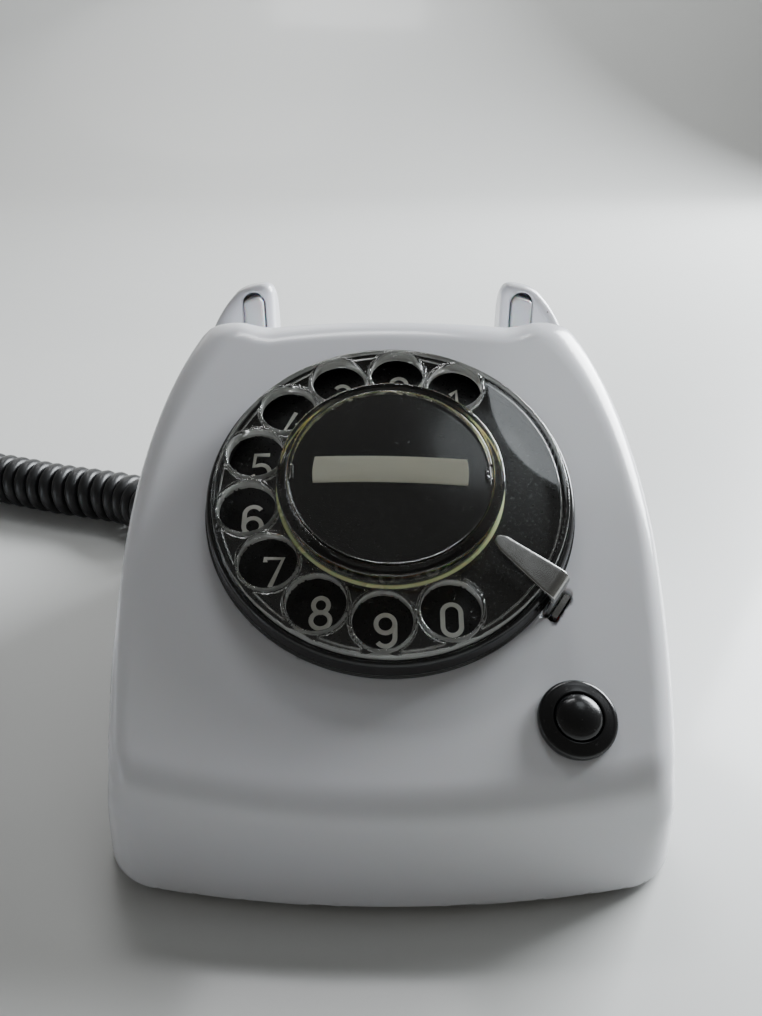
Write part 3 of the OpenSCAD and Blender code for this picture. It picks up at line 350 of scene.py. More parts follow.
def slab(name, outline, levels, place, sharp=30):
    """A convex outline at each (scale x, scale y, height) of levels, closed at both ends on its middle."""
    levels = [(0, 0, levels[0][2]), *levels, (0, 0, levels[-1][2])]
    points = np.stack([place(outline[:, 0]*a, outline[:, 1]*b, np.full(len(outline), h)) for a, b, h in levels])
    return mesh_piece(name, points.reshape(-1, 3), grid_quads(len(points), len(outline)), sharp=sharp)


# ---------------------------------------------------------------- finishes

class Value:
    """A number that changes over a surface. Arithmetic on it adds Math nodes."""

    def __init__(self, nodes, socket):
        self.nodes = nodes
        self.socket = socket

    def math(self, operation, a, b):
        return self.nodes.node("ShaderNodeMath", {"operation": operation}, {0: a, 1: b})

    def __add__(self, other):
        return self.math("ADD", self, other)

    __radd__ = __add__

    def __sub__(self, other):
        return self.math("SUBTRACT", self, other)

    def __rsub__(self, other):
        return self.math("SUBTRACT", other, self)

    def __mul__(self, other):
        return self.math("MULTIPLY", self, other)

    __rmul__ = __mul__

    def __gt__(self, other):
        return self.math("GREATER_THAN", self, other)

    def __lt__(self, other):
        return self.math("LESS_THAN", self, other)

    def clamped(self, low, high):
        """0 at low, 1 at high, held between them and eased."""
        settings = {"interpolation_type": "SMOOTHSTEP"}
        return self.nodes.node("ShaderNodeMapRange", settings, {0: self, 1: low, 2: high})


class Nodes:
    """A node tree under construction."""

    def __init__(self, tree):
        self.tree = tree

    def node(self, kind, settings, inputs, out=0):
        """A node of this kind: its settings first, then a number or a link for each named input. Returns one
        output."""
        made = self.tree.nodes.new(kind)
        for key, value in settings.items():
            setattr(made, key, value)
        for key, value in inputs.items():
            if isinstance(value, Value):
                self.tree.links.new(value.socket, made.inputs[key])
            else:
                made.inputs[key].default_value = value
        return Value(self, made.outputs[out])


class Finish(Nodes):
    """A material under construction: one Principled shader, its uniform values, and the nodes that feed it."""

    def __init__(self, name, **uniform):
        self.material = bpy.data.materials.new(name)
        self.material.use_nodes = True
        super().__init__(self.material.node_tree)
        self.shader = self.tree.nodes["Principled BSDF"]
        for socket, value in uniform.items():
            self.shader.inputs[socket.replace("_", " ")].default_value = value

    def place(self, uv=False):
        """Where a point lies on the object, or on its own UV map."""
        return self.node("ShaderNodeTexCoord", {}, {}, out="UV" if uv else "Object")

    def noise(self, scale, detail=3.0, rough=0.5, stretch=None, uv=False):
        """Cloudy noise from 0 to 1, finer by a factor along each axis where stretch says so."""
        at = self.place(uv)
        if stretch:
            at = self.node("ShaderNodeMapping", {}, {"Vector": at, "Scale": stretch})
        inputs = {"Vector": at, "Scale": scale, "Detail": detail, "Roughness": rough}
        return self.node("ShaderNodeTexNoise", {}, inputs)

    def cells(self, scale):
        """Distance to the nearest of the points scattered at this scale."""
        return self.node("ShaderNodeTexVoronoi", {"feature": "F1"}, {"Vector": self.place(), "Scale": scale})

    def waves(self, scale, distortion, across):
        """Bands from 0 to 1 that follow each other along an axis."""
        inputs = {"Vector": self.place(), "Scale": scale, "Distortion": distortion}
        return self.node("ShaderNodeTexWave", {"bands_direction": across}, inputs, out="Fac")

    def attribute(self, name):
        """A number that the mesh stores at each point."""
        return self.node("ShaderNodeAttribute", {"attribute_name": name}, {}, out="Fac")

    def mix(self, share, a, b):
        """Colour a where the share is 0, colour b where it is 1."""
        a, b = (c if isinstance(c, Value) else (*c[:3], 1) for c in (a, b))
        return self.node("ShaderNodeMix", {"data_type": "RGBA"}, {0: share, 6: a, 7: b}, out=2)

    def bump(self, height, strength, depth):
        """A normal that follows the slopes of a height, which is depth metres high."""
        return self.node("ShaderNodeBump", {}, {"Height": height, "Strength": strength, "Distance": depth})

    def veil(self, share, colour, rough):
        """Lays a share of dull plastic of this colour over the shader."""
        dull = self.node("ShaderNodeBsdfPrincipled", {}, {"Base Color": (*colour, 1), "Roughness": rough})
        clear = Value(self, self.shader.outputs[0])
        both = self.node("ShaderNodeMixShader", {}, {"Fac": share, 1: clear, 2: dull})
        self.tree.links.new(both.socket, self.tree.nodes["Material Output"].inputs["Surface"])
        return self.material

    def wire(self, **links):
        """Links each value to the shader's socket of that name."""
        for socket, value in links.items():
            self.tree.links.new(value.socket, self.shader.inputs[socket.replace("_", " ")])
        return self.material


def shade(colour, factor):
    """A colour times a number, or times one number for each channel."""
    return tuple(np.clip(np.asarray(colour[:3])*np.asarray(factor), 0, 1))


def shell_plastic(name, colour, rough=0.24):
    """Glossy moulded plastic that has been handled: faint swirls in the gloss, a slight ripple, a few specks of
    dirt."""
    m = Finish(name, Coat_Weight=0.35, Coat_Roughness=0.12, IOR=1.5, Subsurface_Weight=0.04, Subsurface_Scale=0.002)
    cloudy = m.noise(14.0, 4.0)
    swirl = m.noise(90.0, 6.0, 0.65)
    specks = (m.cells(75.0) < 0.022)*(m.noise(31.0, 1.0) > 0.6)
    base = m.mix(cloudy.clamped(0.35, 0.7), colour, shade(colour, (0.965, 0.965, 0.94)))
    base = m.mix(specks, base, (0.16, 0.14, 0.12))
    ripple = m.noise(260.0, 2.0)*0.6 + m.noise(45.0, 2.0)
    gloss = rough + (swirl - 0.5)*0.14 + specks*0.3
    return m.wire(Base_Color=base, Roughness=gloss, Normal=m.bump(ripple, 0.12, 0.00006))


def black_plastic(name, colour, rough=0.16):
    """Black gloss plastic with dust in it and hairline scuffs."""
    m = Finish(name, Coat_Weight=0.2, Coat_Roughness=0.08, IOR=1.46)
    dust = m.noise(900.0, 5.0, 0.7).clamped(0.6, 0.78)
    smear = m.noise(60.0, 4.0, 0.6)
    base = m.mix(dust*0.12, colour, (0.2, 0.2, 0.2))
    scuff = m.noise(160.0, 3.0, 0.6, stretch=(1, 9, 1))
    return m.wire(Base_Color=base, Roughness=rough + smear*0.14 + dust*0.2, Normal=m.bump(scuff, 0.08, 0.00004))


def satin_plastic(name, colour, rough=0.5):
    """Moulded plastic with a fine spark-eroded grain."""
    m = Finish(name, IOR=1.48)
    grain = m.noise(1500.0, 2.0)
    cloud = m.noise(40.0, 3.0)
    base = m.mix(cloud, shade(colour, 0.88), shade(colour, 1.08))
    return m.wire(Base_Color=base, Roughness=rough + (grain - 0.5)*0.2, Normal=m.bump(grain, 0.25, 0.00008))


def clear_plastic(name, colour):
    """Clear acrylic with fine wear. The attribute `wall` is high on its side walls, which are duller and carry a
    whitish veil of painted light standing in for the light the clear walls carry inside them, and `amber` round the
    foot of the hub, where old cement shows yellow."""
    m = Finish(name, Transmission_Weight=1.0, IOR=1.46, Coat_Weight=0.1)
    wear = m.noise(300.0, 6.0, 0.7)
    wall, amber = m.attribute("wall"), m.attribute("amber")
    tint = m.mix(amber, colour, (1.0, 0.9, 0.5))
    rough = 0.02 + wear.clamped(0.55, 0.8)*0.07 + wall.clamped(0.35, 0.9)*0.22
    m.wire(Base_Color=tint, Roughness=rough, Normal=m.bump(wear, 0.03, 0.00003))
    # The whitish veil on the walls is painted light, standing in for light carried inside the clear plastic; round
    # the hub's foot it adds the cement's own milky tone.
    return m.veil(wall.clamped(0.35, 0.95)*0.42 + amber*0.1, (0.86, 0.87, 0.84), 0.35)


def milky_plastic(name, colour):
    """Translucent plastic: light goes in and scatters."""
    m = Finish(name, Subsurface_Weight=0.5, Subsurface_Scale=0.004, Transmission_Weight=0.25, IOR=1.47,
               Coat_Weight=0.3)
    veil = m.noise(120.0, 3.0)
    base = m.mix(veil, colour, shade(colour, 0.86))
    return m.wire(Base_Color=base, Roughness=0.2 + veil*0.12)


def rubber(name, colour, rough=0.55, uv=False):
    """Soft black rubber or cord jacket: even sheen broken by fine dust."""
    m = Finish(name, IOR=1.46, Sheen_Weight=0.06)
    dust = m.noise(700.0, 4.0, 0.7, uv=uv).clamped(0.5, 0.85)
    base = m.mix(dust*0.4, colour, (0.11, 0.105, 0.1))
    soft = m.noise(220.0, 3.0, uv=uv)
    return m.wire(Base_Color=base, Roughness=rough + (soft - 0.5)*0.2, Normal=m.bump(soft, 0.15, 0.0001))


def metal(name, colour, rough=0.3, stretch=(1, 14, 1), tarnish=0.25):
    """Plated or bare metal: brushed along one way, dulled in patches."""
    m = Finish(name)
    brush = m.noise(350.0, 3.0, 0.6, stretch=stretch)
    patch = m.noise(70.0, 4.0, 0.6).clamped(0.45, 0.75)
    base = m.mix(patch*tarnish, colour, shade(colour, (0.62, 0.56, 0.48)))
    return m.wire(Base_Color=base, Metallic=1.0 - patch*0.1, Roughness=rough + (brush - 0.5)*0.2 + patch*0.12,
                  Normal=m.bump(brush, 0.12, 0.00004))


def paper(name, colour):
    """Blank card label, slightly yellowed in cloudy patches, with a fibre grain."""
    m = Finish(name, IOR=1.4)
    fibre = m.noise(1800.0, 4.0, 0.7, stretch=(1, 4, 1))
    age = m.noise(90.0, 3.0)
    base = m.mix(age, colour, shade(colour, (0.93, 0.9, 0.8)))
    return m.wire(Base_Color=base, Roughness=0.6 + (fibre - 0.5)*0.2, Normal=m.bump(fibre, 0.3, 0.00005))


def winding(name, colour):
    """Varnished winding under tape: rows of wire across the former, with painted shade in the grooves between the
    rows and painted light on their tops.
    """
    m = Finish(name, Coat_Weight=0.4)
    rows = m.waves(320.0, 0.6, "Y")
    # The dark and light bands are painted shade in the grooves and painted light on the wires' tops.
    base = m.mix(rows, shade(colour, 0.6), shade(colour, 1.3))
    return m.wire(Base_Color=base, Roughness=0.35 + rows*0.2, Normal=m.bump(rows, 0.5, 0.0002))


def laminate(name, colour):
    """Brown circuit laminate with darker cloudy layers and a tracery of printed paths."""
    m = Finish(name, Coat_Weight=0.3)
    cloud = m.noise(60.0, 5.0)
    paths = m.waves(60.0, 5.0, "X").clamped(0.8, 0.86)
    base = m.mix(paths*0.5, m.mix(cloud, shade(colour, 0.75), shade(colour, 1.2)), (0.36, 0.22, 0.1))
    return m.wire(Base_Color=base, Roughness=0.45 - paths*0.15, Normal=m.bump(paths, 0.3, 0.0001))


FINISHES = {}


def finish(slot):
    """The material of one of the record's slots, made once, in the colours of the panel."""
    if slot in FINISHES:
        return FINISHES[slot]
    c = bpy.context.scene.phone_colours
    make, colour, options = {
        "white_shell": (shell_plastic, c.shell, {}),
        "black_plastic": (black_plastic, c.black, {}),
        "number_face": (satin_plastic, shade(c.black, 0.8), {"rough": 0.3}),
        "clear_plastic": (clear_plastic, c.clear, {}),
        "label_paper": (paper, c.label, {}),
        "cement": (milky_plastic, (0.86, 0.8, 0.42), {}),
        "hook_plastic": (milky_plastic, (0.8, 0.83, 0.86), {}),
        "rubber": (rubber, (0.022, 0.022, 0.023), {}),
        "cord_black": (rubber, c.cord, {"rough": 0.36, "uv": True}),
        "steel": (metal, (0.58, 0.585, 0.6), {"rough": 0.32}),
        "stop_metal": (metal, (0.36, 0.36, 0.35), {"rough": 0.22, "stretch": (0.4, 0.4, 0.4), "tarnish": 0.15}),
        "brass": (metal, (0.72, 0.53, 0.22), {}),
        "contact": (metal, (0.74, 0.57, 0.34), {"rough": 0.25, "tarnish": 0.4}),
        "gong_metal": (metal, (0.7, 0.7, 0.71), {"rough": 0.16, "stretch": (1, 1, 1)}),
        "winding": (winding, (0.3, 0.12, 0.05), {}),
        "board": (laminate, (0.28, 0.17, 0.07), {}),
        "beige_case": (satin_plastic, (0.6, 0.52, 0.35), {}),
        "inner_plastic": (satin_plastic, (0.55, 0.55, 0.52), {}),
        "digit_print": (satin_plastic, c.digits, {"rough": 0.45}),
    }[slot]
    FINISHES[slot] = make(slot, colour, **options)
    return FINISHES[slot]


def wear(obj, slot, body, *nodes, record_slot=True):
    """Gives a piece its finish and its body, and hides the CAD nodes that it stands for."""
    obj.data.materials.clear()
    obj.data.materials.append(finish(slot))
    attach(obj, body)
    if nodes:
        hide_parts(*nodes)
    return obj


# ---------------------------------------------------------------- settings

class PhoneColours(PropertyGroup):
    shell: FloatVectorProperty(name="Shell", description="Colour of the housing and the handset", subtype="COLOR",
                               size=3, min=0, max=1, default=(0.77, 0.775, 0.82))
    black: FloatVectorProperty(name="Black", description="Colour of the bezel, the label disc and the button",
                               subtype="COLOR", size=3, min=0, max=1, default=(0.007, 0.007, 0.0075))
    clear: FloatVectorProperty(name="Clear", description="Tint of the finger wheel and its cap", subtype="COLOR",
                               size=3, min=0, max=1, default=(0.95, 0.96, 0.955))
    label: FloatVectorProperty(name="Label", description="Colour of the blank label strip", subtype="COLOR",
                               size=3, min=0, max=1, default=(0.9, 0.88, 0.76))
    digits: FloatVectorProperty(name="Digits", description="Colour of the digits", subtype="COLOR",
                                size=3, min=0, max=1, default=(0.86, 0.86, 0.79))
    cord: FloatVectorProperty(name="Cord", description="Colour of both cords", subtype="COLOR",
                              size=3, min=0, max=1, default=(0.010, 0.010, 0.011))
    floor: FloatVectorProperty(name="Floor", description="Colour of the table top", subtype="COLOR",
                               size=3, min=0, max=1, default=(0.62, 0.625, 0.61))


class PhoneSizes(PropertyGroup):
    skin_step: FloatProperty(name="Housing grid", description="Grid step of the housing's skin", unit="LENGTH",
                             default=0.00135, min=0.001, max=0.003)
    digit_height: FloatProperty(name="Digit height", description="Height of the digits on the number plate",
                                unit="LENGTH", default=0.0085, min=0.004, max=0.009)
    curl_wire: FloatProperty(name="Curly wire", description="Diameter of the coiled cord's own wire", unit="LENGTH",
                             default=0.0052, min=0.003, max=0.006)
    curl_pitch: FloatProperty(name="Curl pitch", description="Distance between the turns of the coiled cord",
                              unit="LENGTH", default=0.0059, min=0.0055, max=0.009)
    line_wire: FloatProperty(name="Line cord", description="Diameter of the line cord", unit="LENGTH",
                             default=0.0045, min=0.004, max=0.006)
    cord_sides: IntProperty(name="Cord sides", description="Sides of the cords' cross-section",
                            default=12, min=8, max=24)


# ---------------------------------------------------------------- stage and cords

class PhoneStage(Operator):
    """Makes the camera, the soft lights and the plain pale floor"""
    bl_idname = "phone.stage"
    bl_label = "Stage"

    def execute(self, context):
        scene = context.scene
        camera = bpy.data.objects.new("camera", bpy.data.cameras.new("camera"))
        scene.collection.objects.link(camera)
        camera.location = CAMERA_PLACE
        camera.rotation_euler = (radians(90 - CAMERA_PITCH), 0, 0)
        camera.data.sensor_fit = "VERTICAL"
        camera.data.sensor_height = 24.0
        camera.data.lens = camera.data.sensor_height*FOCUS/FRAME_HEIGHT
        camera.data.clip_start = 0.01
        scene.camera = camera
        for name, place, aim, size, power, colour in LAMPS:
            data = bpy.data.lights.new(name, "AREA")
            data.size, data.energy, data.color = size, power, colour
            data.shape = "DISK" if name == "skylight" else "SQUARE"
            lamp = bpy.data.objects.new(name, data)
            lamp.location = place
            lamp.rotation_euler = (Vector(aim) - Vector(place)).to_track_quat("-Z", "Y").to_euler()
            scene.collection.objects.link(lamp)
        scene.world = self.room_light()
        self.floor(scene.phone_colours.floor)
        return {"FINISHED"}

    def room_light(self):
        """Light from low all round, which eases down to half of it straight above."""
        world = bpy.data.worlds.new("room light")
        world.use_nodes = True
        sky = Nodes(world.node_tree)
        way = sky.node("ShaderNodeTexCoord", {}, {}, out="Generated")
        up = sky.node("ShaderNodeSeparateXYZ", {}, {0: way}, out="Z")
        fade = sky.node("ShaderNodeMapRange", {"interpolation_type": "SMOOTHSTEP"},
                        {"Value": up, "From Min": 0.75, "From Max": 0.05, "To Min": 0.11, "To Max": 0.22})
        back = world.node_tree.nodes["Background"]
        back.inputs["Color"].default_value = (1.0, 0.99, 0.94, 1)
        sky.tree.links.new(fade.socket, back.inputs["Strength"])
        return world

    def floor(self, tone):
        """A flat table top that turns up over a quarter circle of radius 500 mm, 1.1 m behind the telephone."""
        start, radius, top, reach = 1100, 500, 1800, 3000
        turn = np.linspace(0, pi/2, 24)
        rise = np.stack([start + radius*np.sin(turn), radius - radius*np.cos(turn)], -1)
        side = np.concatenate([[[-reach, 0], [-500, 0], [0, 0], [600, 0]], rise, [[start + radius, top]]])
        across = np.array([-reach, -800.0, 0, 800, reach])
        points = points_of(across[None], side[:, :1], side[:, 1:]).reshape(-1, 3)
        quads = grid_quads(len(side), len(across), ring_columns=False)
        floor = mesh_piece("floor", points, quads, weld=False, sharp=0)
        if floor.data.polygons[0].normal.z < 0:
            floor.data.flip_normals()
        m = Finish("table top", Coat_Weight=0.3, Coat_Roughness=0.12)
        cloud, grain = m.noise(2.5, 3.0), m.noise(40.0, 3.0)
        base = m.mix(cloud, shade(tone, 0.97), shade(tone, 1.03))
        floor.data.materials.append(m.wire(Base_Color=base, Roughness=0.42 + (grain - 0.5)*0.1))
        return floor


class PhoneHandsetCord(Operator):
    """Makes the coiled cord from the housing's left side to the handset"""
    bl_idname = "phone.handset_cord"
    bl_label = "Handset cord"

    def execute(self, context):
        sizes = context.scene.phone_sizes
        wire = sizes.curl_wire/MM/2
        centre_r = CURL_R - wire
        # A last bend of 111 degrees turns the cord round to the bush and lifts it off the table
        bend_r, bend_turn = 36, 111
        a = np.radians(np.arange(bend_turn, 2, -12))
        bend = np.stack([HANDSET_X + bend_r - bend_r*np.cos(a), BUSH[1] + 10 + bend_r*np.sin(a),
                         CURL_R + (BUSH[2] - CURL_R)*(1 - np.degrees(a)/bend_turn)**2], -1)
        route = np.concatenate([
            CURL_EXIT + [[-8.2, 0, 0], [-12, 0, 0], [-19, 4.5, -0.6], [-28, 12, -1.5]],
            [[-102, 87, CURL_R], [-133, 95.8, CURL_R], [-153, 103.4, CURL_R]], bend,
            [BUSH + [0, 5, 0], BUSH + [0, 0.3, 0]]])
        line = smooth_route(route, 0.5, 12.0)
        along = np.concatenate([[0], np.cumsum(np.linalg.norm(np.diff(line, axis=0), axis=1))])
        total = along[-1]
        # The turns lie looser where the cord leaves the housing and where it bends round to the handset
        pitch = sizes.curl_pitch/MM + 2.2*(1 - smooth(along/22)) + 1.1*smooth((along - 95)/30)
        phase = 2*pi*np.concatenate([[0], np.cumsum(np.diff(along)/pitch[1:])])
        points_per_turn = 26
        at = np.interp(np.linspace(0, phase[-1], int(phase[-1]/(2*pi)*points_per_turn)), phase, along)
        line = np.stack([np.interp(at, along, line[:, k]) for k in range(3)], -1)
        phase = np.interp(at, along, phase)
        t = directions(line)
        side = np.cross([0.0, 0.0, 1.0], t)
        side /= np.linalg.norm(side, axis=1)[:, None]
        rise = np.cross(t, side)
        r = centre_r*smooth(at/9)*smooth((total - at)/9)
        out = np.cos(phase)[:, None]*side + np.sin(phase)[:, None]*rise
        path = line + r[:, None]*out
        cord = tube("handset_cord", path, wire, sizes.cord_sides, out + 1e-3*rise)
        cord.data.materials.append(finish("cord_black"))
        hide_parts("curly_cord")
        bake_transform(cord)
        path[0]*MM
        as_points(path*MM)
        return {"FINISHED"}


class PhoneLineCord(Operator):
    """Makes the line cord with its coil behind the telephone, and its plug"""
    bl_idname = "phone.line_cord"
    bl_label = "Line cord and plug"

    def execute(self, context):
        sizes = context.scene.phone_sizes
        half = sizes.line_wire/MM/2
        start = LINE_EXIT + [0, 22.2, 0]
        lead = np.array([[-12, 113, 9], [-14, 118.5, 7], [-20, 124, 4.4], [-26.5, 131.5, half],
                         [-30.6, 138, half], [-32, 145, half]])
        # Turns of the coil: clockwise angle from its left side, radius, and height in half diameters of the cord,
        # eased from each row to the next
        turns = np.array([
            [0, 36.4, 1], [55, 31.5, 1], [310, 31.5, 1], [360, 27, 1], [670, 27, 1], [720, 22.5, 1], [980, 22.5, 1],
            [1030, 22.5, 3], [1340, 22.5, 3], [1390, 27, 3], [1700, 27, 3], [1750, 31.5, 3], [2010, 31.5, 3],
            [2060, 31.5, 5], [2370, 31.5, 5], [2420, 27, 5], [2730, 27, 5], [2780, 22.5, 5], [3040, 22.5, 5],
            [3100, 23.5, 7.05], [3250, 27, 7.05]])
        angle = np.arange(0, turns[-1, 0], 3.0)
        k = np.clip(np.searchsorted(turns[:, 0], angle, "right") - 1, 0, len(turns) - 2)
        ease = smooth((angle - turns[k, 0])/(turns[k + 1, 0] - turns[k, 0]))
        r = turns[k, 1] + ease*(turns[k + 1, 1] - turns[k, 1])
        z = (turns[k, 2] + ease*(turns[k + 1, 2] - turns[k, 2]))*half
        a = np.radians(180 - angle)
        coil = np.stack([COIL[0] + r*np.cos(a), COIL[1] + r*np.sin(a), z], -1)
        tail = np.array([[-10, 177.5, 15.9], [-2, 182, 15.8], [8, 186, 14.8], [19, 188.3, 11.2], [29, 187.8, 7],
                         [37.5, 184, 4.6], [42.3, 178, 4.0], [43.5, 172.5, 4.0], [43.55, 168.2, 4.0]])
        path = smooth_route(np.concatenate([[start], lead, coil, tail]), 1.2, 5.0)
        up = np.broadcast_to([0.0, 0.0, 1.0], path.shape)
        cord = tube("line_cord_run", path, half, sizes.cord_sides, up)
        plug = self.make_plug()
        wear(cord, "cord_black", "telephone", "line_cord", "line_cord_coil")
        return {"FINISHED"}

    def make_plug(self):
        """The plug's body with its waist, and the nose with four contacts."""
        def across(x, z, y):
            return points_of(PLUG[0] + x, PLUG[1] + y, PLUG[2] + z)
        body = rounded_outline(5.45, 3.95, 1.4)
        levels = [(0.92, 0.9, 0.0), (1, 1, 0.7), (1, 1, 6), (0.9, 0.86, 8.5), (0.9, 0.86, 13), (1, 1, 15.5),
                  (1, 1, 20.8), (0.86, 0.82, 22)]
        pieces = [wear(slab("plug_body", body, levels, across), "black_plastic", "telephone", "line_plug")]
        nose = rounded_outline(3.4, 2.4, 0.5)
        pieces.append(wear(slab("plug_nose", nose, [(0.9, 0.85, -7), (1, 1, -6.4), (1, 1, 0.3)], across),
                           "inner_plastic", "telephone"))
        for i in range(4):
            def strip(x, z, y, shift=1.5*i - 2.25):
                return across(x + shift, z + 2.3, y)
            contact = rounded_outline(0.35, 0.22, 0.15, 4)
            levels = [(0.8, 0.8, -6.2), (1, 1, -6.0), (1, 1, -0.6)]
            pieces.append(wear(slab("plug_contact_%d" % i, contact, levels, strip), "contact", "telephone"))
        return pieces


# ---------------------------------------------------------------- housing

def crown_dip(x):
    """How far the ridge lies below its ends: eased in beside the horns, and less again towards the middle."""
    return 1.9*smooth((GAP + 6 - np.abs(x))/11) - 1.9*np.maximum(0, 1 - (x/GAP)**2)


def housing_form(x, y, z, o):
    """Closed form of the housing, inset by o: below 0 inside. The sides are a superellipse above the shoulder
    height and a slight draft below it, bowed along their length; the front is the bowed lip softly joined to
    the tilted deck; the rear leans and rolls over at the top; the ridge, the trough and the space between the
    horns are then taken off."""
    t = z - FOOT
    bowed = y*y/SIDE_BOW + np.minimum(0, y - DIAL[1])**2/FRONT_BOW*np.clip(t/LIP, 0, 1)
    half = HALF_W - np.clip(t, 0, SHOULDER)*tan(SIDE_DRAFT) - CORE - o
    across = np.maximum(np.abs(x) + bowed - CORE, 0)/half
    rise = np.maximum(t - SHOULDER, 0)/(CROWN - o)
    side = ((across**SQUARENESS + rise**SQUARENESS)**(1/SQUARENESS) - 1)*half
    lip = FRONT + t*LIP_LEAN/LIP + x*x/LIP_BOW - y + o
    deck = deck_of(x, y, z)[2] + o
    fore = soft_max(lip, deck, 5.0)
    corner = np.maximum(5.5 + 7*np.clip(1 - t/LIP/0.7, 0, 1) - o, 1)
    form = round_max(side, fore, corner)
    at_y = y - (BACK - (np.minimum(z, TOP - REAR_ROLL) - FOOT)*tan(REAR_LEAN) - REAR_ROLL)
    at_z = z - (TOP - REAR_ROLL)
    rear = np.hypot(np.maximum(at_y, 0), np.maximum(at_z, 0)) + np.minimum(np.maximum(at_y, at_z), 0) - REAR_ROLL + o
    form = round_max(form, rear, np.maximum(16 - 13*smooth((z - 70)/27) - o, 1))
    ridge = np.where(y < TROUGH_Y, z - RIDGE_TOP + crown_dip(x) + o, -40)
    form = soft_max(form, ridge, 2.4)
    trough = TROUGH_R + o - np.hypot(y - TROUGH_Y, np.minimum(z - TROUGH_Z - TROUGH_R, 0))
    form = soft_max(form, trough, 3.6)
    between = np.minimum(soft_min(GAP + o - np.abs(x), z - TROUGH_Z + o, 2.5), y - TROUGH_Y)
    return soft_max(form, between, 4.0)


def housing_field(x, y, z):
    """The form less its inset by one wall thickness, open below, with its posts, and with each opening taken
    off."""
    outer = soft_max(housing_form(x, y, z, 0.0), FOOT - z, 0.8)
    inner = housing_form(x, y, z, WALL)
    field = np.maximum(outer, -inner)
    for px, py, top in ((52.0, -48.5, 48.5), (53.0, TROUGH_Y, 70.3)):
        post = np.maximum(np.hypot(np.abs(x) - px, y - py) - 4, np.maximum(3.4 - z, z - top))
        field = np.minimum(field, post)
    dx, s, h = deck_of(x, y, z)
    dial = np.minimum(43.2 - np.hypot(dx, s), h + 12)
    button = np.minimum(7.0 - np.hypot(dx - BUTTON[0], s - BUTTON[1]), h + 10)
    along = dx*cos(STOP_ANGLE) + s*sin(STOP_ANGLE)
    over = s*cos(STOP_ANGLE) - dx*sin(STOP_ANGLE)
    stop = np.minimum(1.9 - np.abs(along - 46.5), np.minimum(4.0 - np.abs(over), h + 6))
    beside = np.abs(x) - PLUNGER_X
    arch = 3.55 - np.hypot(beside, np.maximum(z - PLUNGER_TOP + 3.2, 0))
    slot = np.minimum(arch, np.minimum(np.minimum(PLUNGER_Y + 3.25 - y, y - PLUNGER_Y + 9.25), z - 58))
    grommet = np.minimum(4.45 - np.hypot(y - CURL_EXIT[1], z - CURL_EXIT[2]), -x - 50)
    relief = np.minimum(4.25 - np.hypot(x - LINE_EXIT[0], z - LINE_EXIT[2]), y - 70)
    field = soft_max(field, slot, 0.7)
    for opening in (dial, button, stop, grommet, relief):
        field = np.maximum(field, opening)
    return field


class PhoneHousing(Operator):
    """Makes the moulded housing as one smooth skin"""
    bl_idname = "phone.housing"
    bl_label = "Housing"

    def execute(self, context):
        step = context.scene.phone_sizes.skin_step/MM
        xs = steps(-67.5, 67.5, step, ((-48.6, -38.4, 0.6), (38.4, 48.6, 0.6)))
        ys = steps(-90.5, 90.5, step, ((55.5, 62.0, 0.75),))
        zs = steps(0.2, 101.8, step, ((88.0, 98.5, 0.6),))
        wear(solid_skin("housing_shell", housing_field, xs, ys, zs), "white_shell", "telephone", "housing")
        return {"FINISHED"}


# ---------------------------------------------------------------- dial

def bow(x, y, rx, ry, start, end, count=14):
    """Points of an ellipse arc round (x, y) between two angles in degrees."""
    a = np.radians(np.linspace(start, end, count))
    return np.stack([x + rx*np.cos(a), y + ry*np.sin(a)], -1)


def digit_strokes(text):
    """Centre lines of a digit's strokes, each with True where it closes, in plain block figures."""
    if text == "0":
        return [(np.concatenate([bow(0, 0.75, 0.95, 0.95, 0, 180), bow(0, -0.75, 0.95, 0.95, 180, 360)]), True)]
    if text == "1":
        return [(np.array([[-0.55, 1.05], [0.25, 1.7], [0.25, -1.7]]), False)]
    if text == "2":
        return [(np.concatenate([bow(0, 0.78, 0.92, 0.92, 170, -30), [[-0.95, -1.7], [1.0, -1.7]]]), False)]
    if text == "3":
        return [(np.concatenate([bow(0, 0.86, 0.86, 0.84, 155, -80), bow(0, -0.76, 0.98, 0.94, 80, -155)]), False)]
    if text == "4":
        return [(np.array([[0.25, 1.7], [-1.0, -0.95], [1.05, -0.95]]), False),
                (np.array([[0.5, 0.1], [0.5, -1.7]]), False)]
    if text == "5":
        return [(np.concatenate([[[0.9, 1.7], [-0.75, 1.7], [-0.85, 0.15]],
                                 bow(0, -0.68, 1.0, 1.02, 110, -160)]), False)]
    if text == "7":
        return [(np.array([[-0.95, 1.25], [-0.95, 1.7], [0.95, 1.7], [-0.3, -1.7]]), False)]
    if text == "8":
        return [(bow(0, 0.88, 0.78, 0.82, 0, 345, 24), True), (bow(0, -0.8, 0.98, 0.9, 0, 345, 24), True)]
    six = [(bow(0, -0.72, 0.97, 0.98, 0, 345, 24), True),
           (np.concatenate([bow(0, 0.72, 0.97, 0.98, 35, 180), [[-0.97, -0.72]]]), False)]
    return six if text == "6" else [(-line, closed) for line, closed in six]


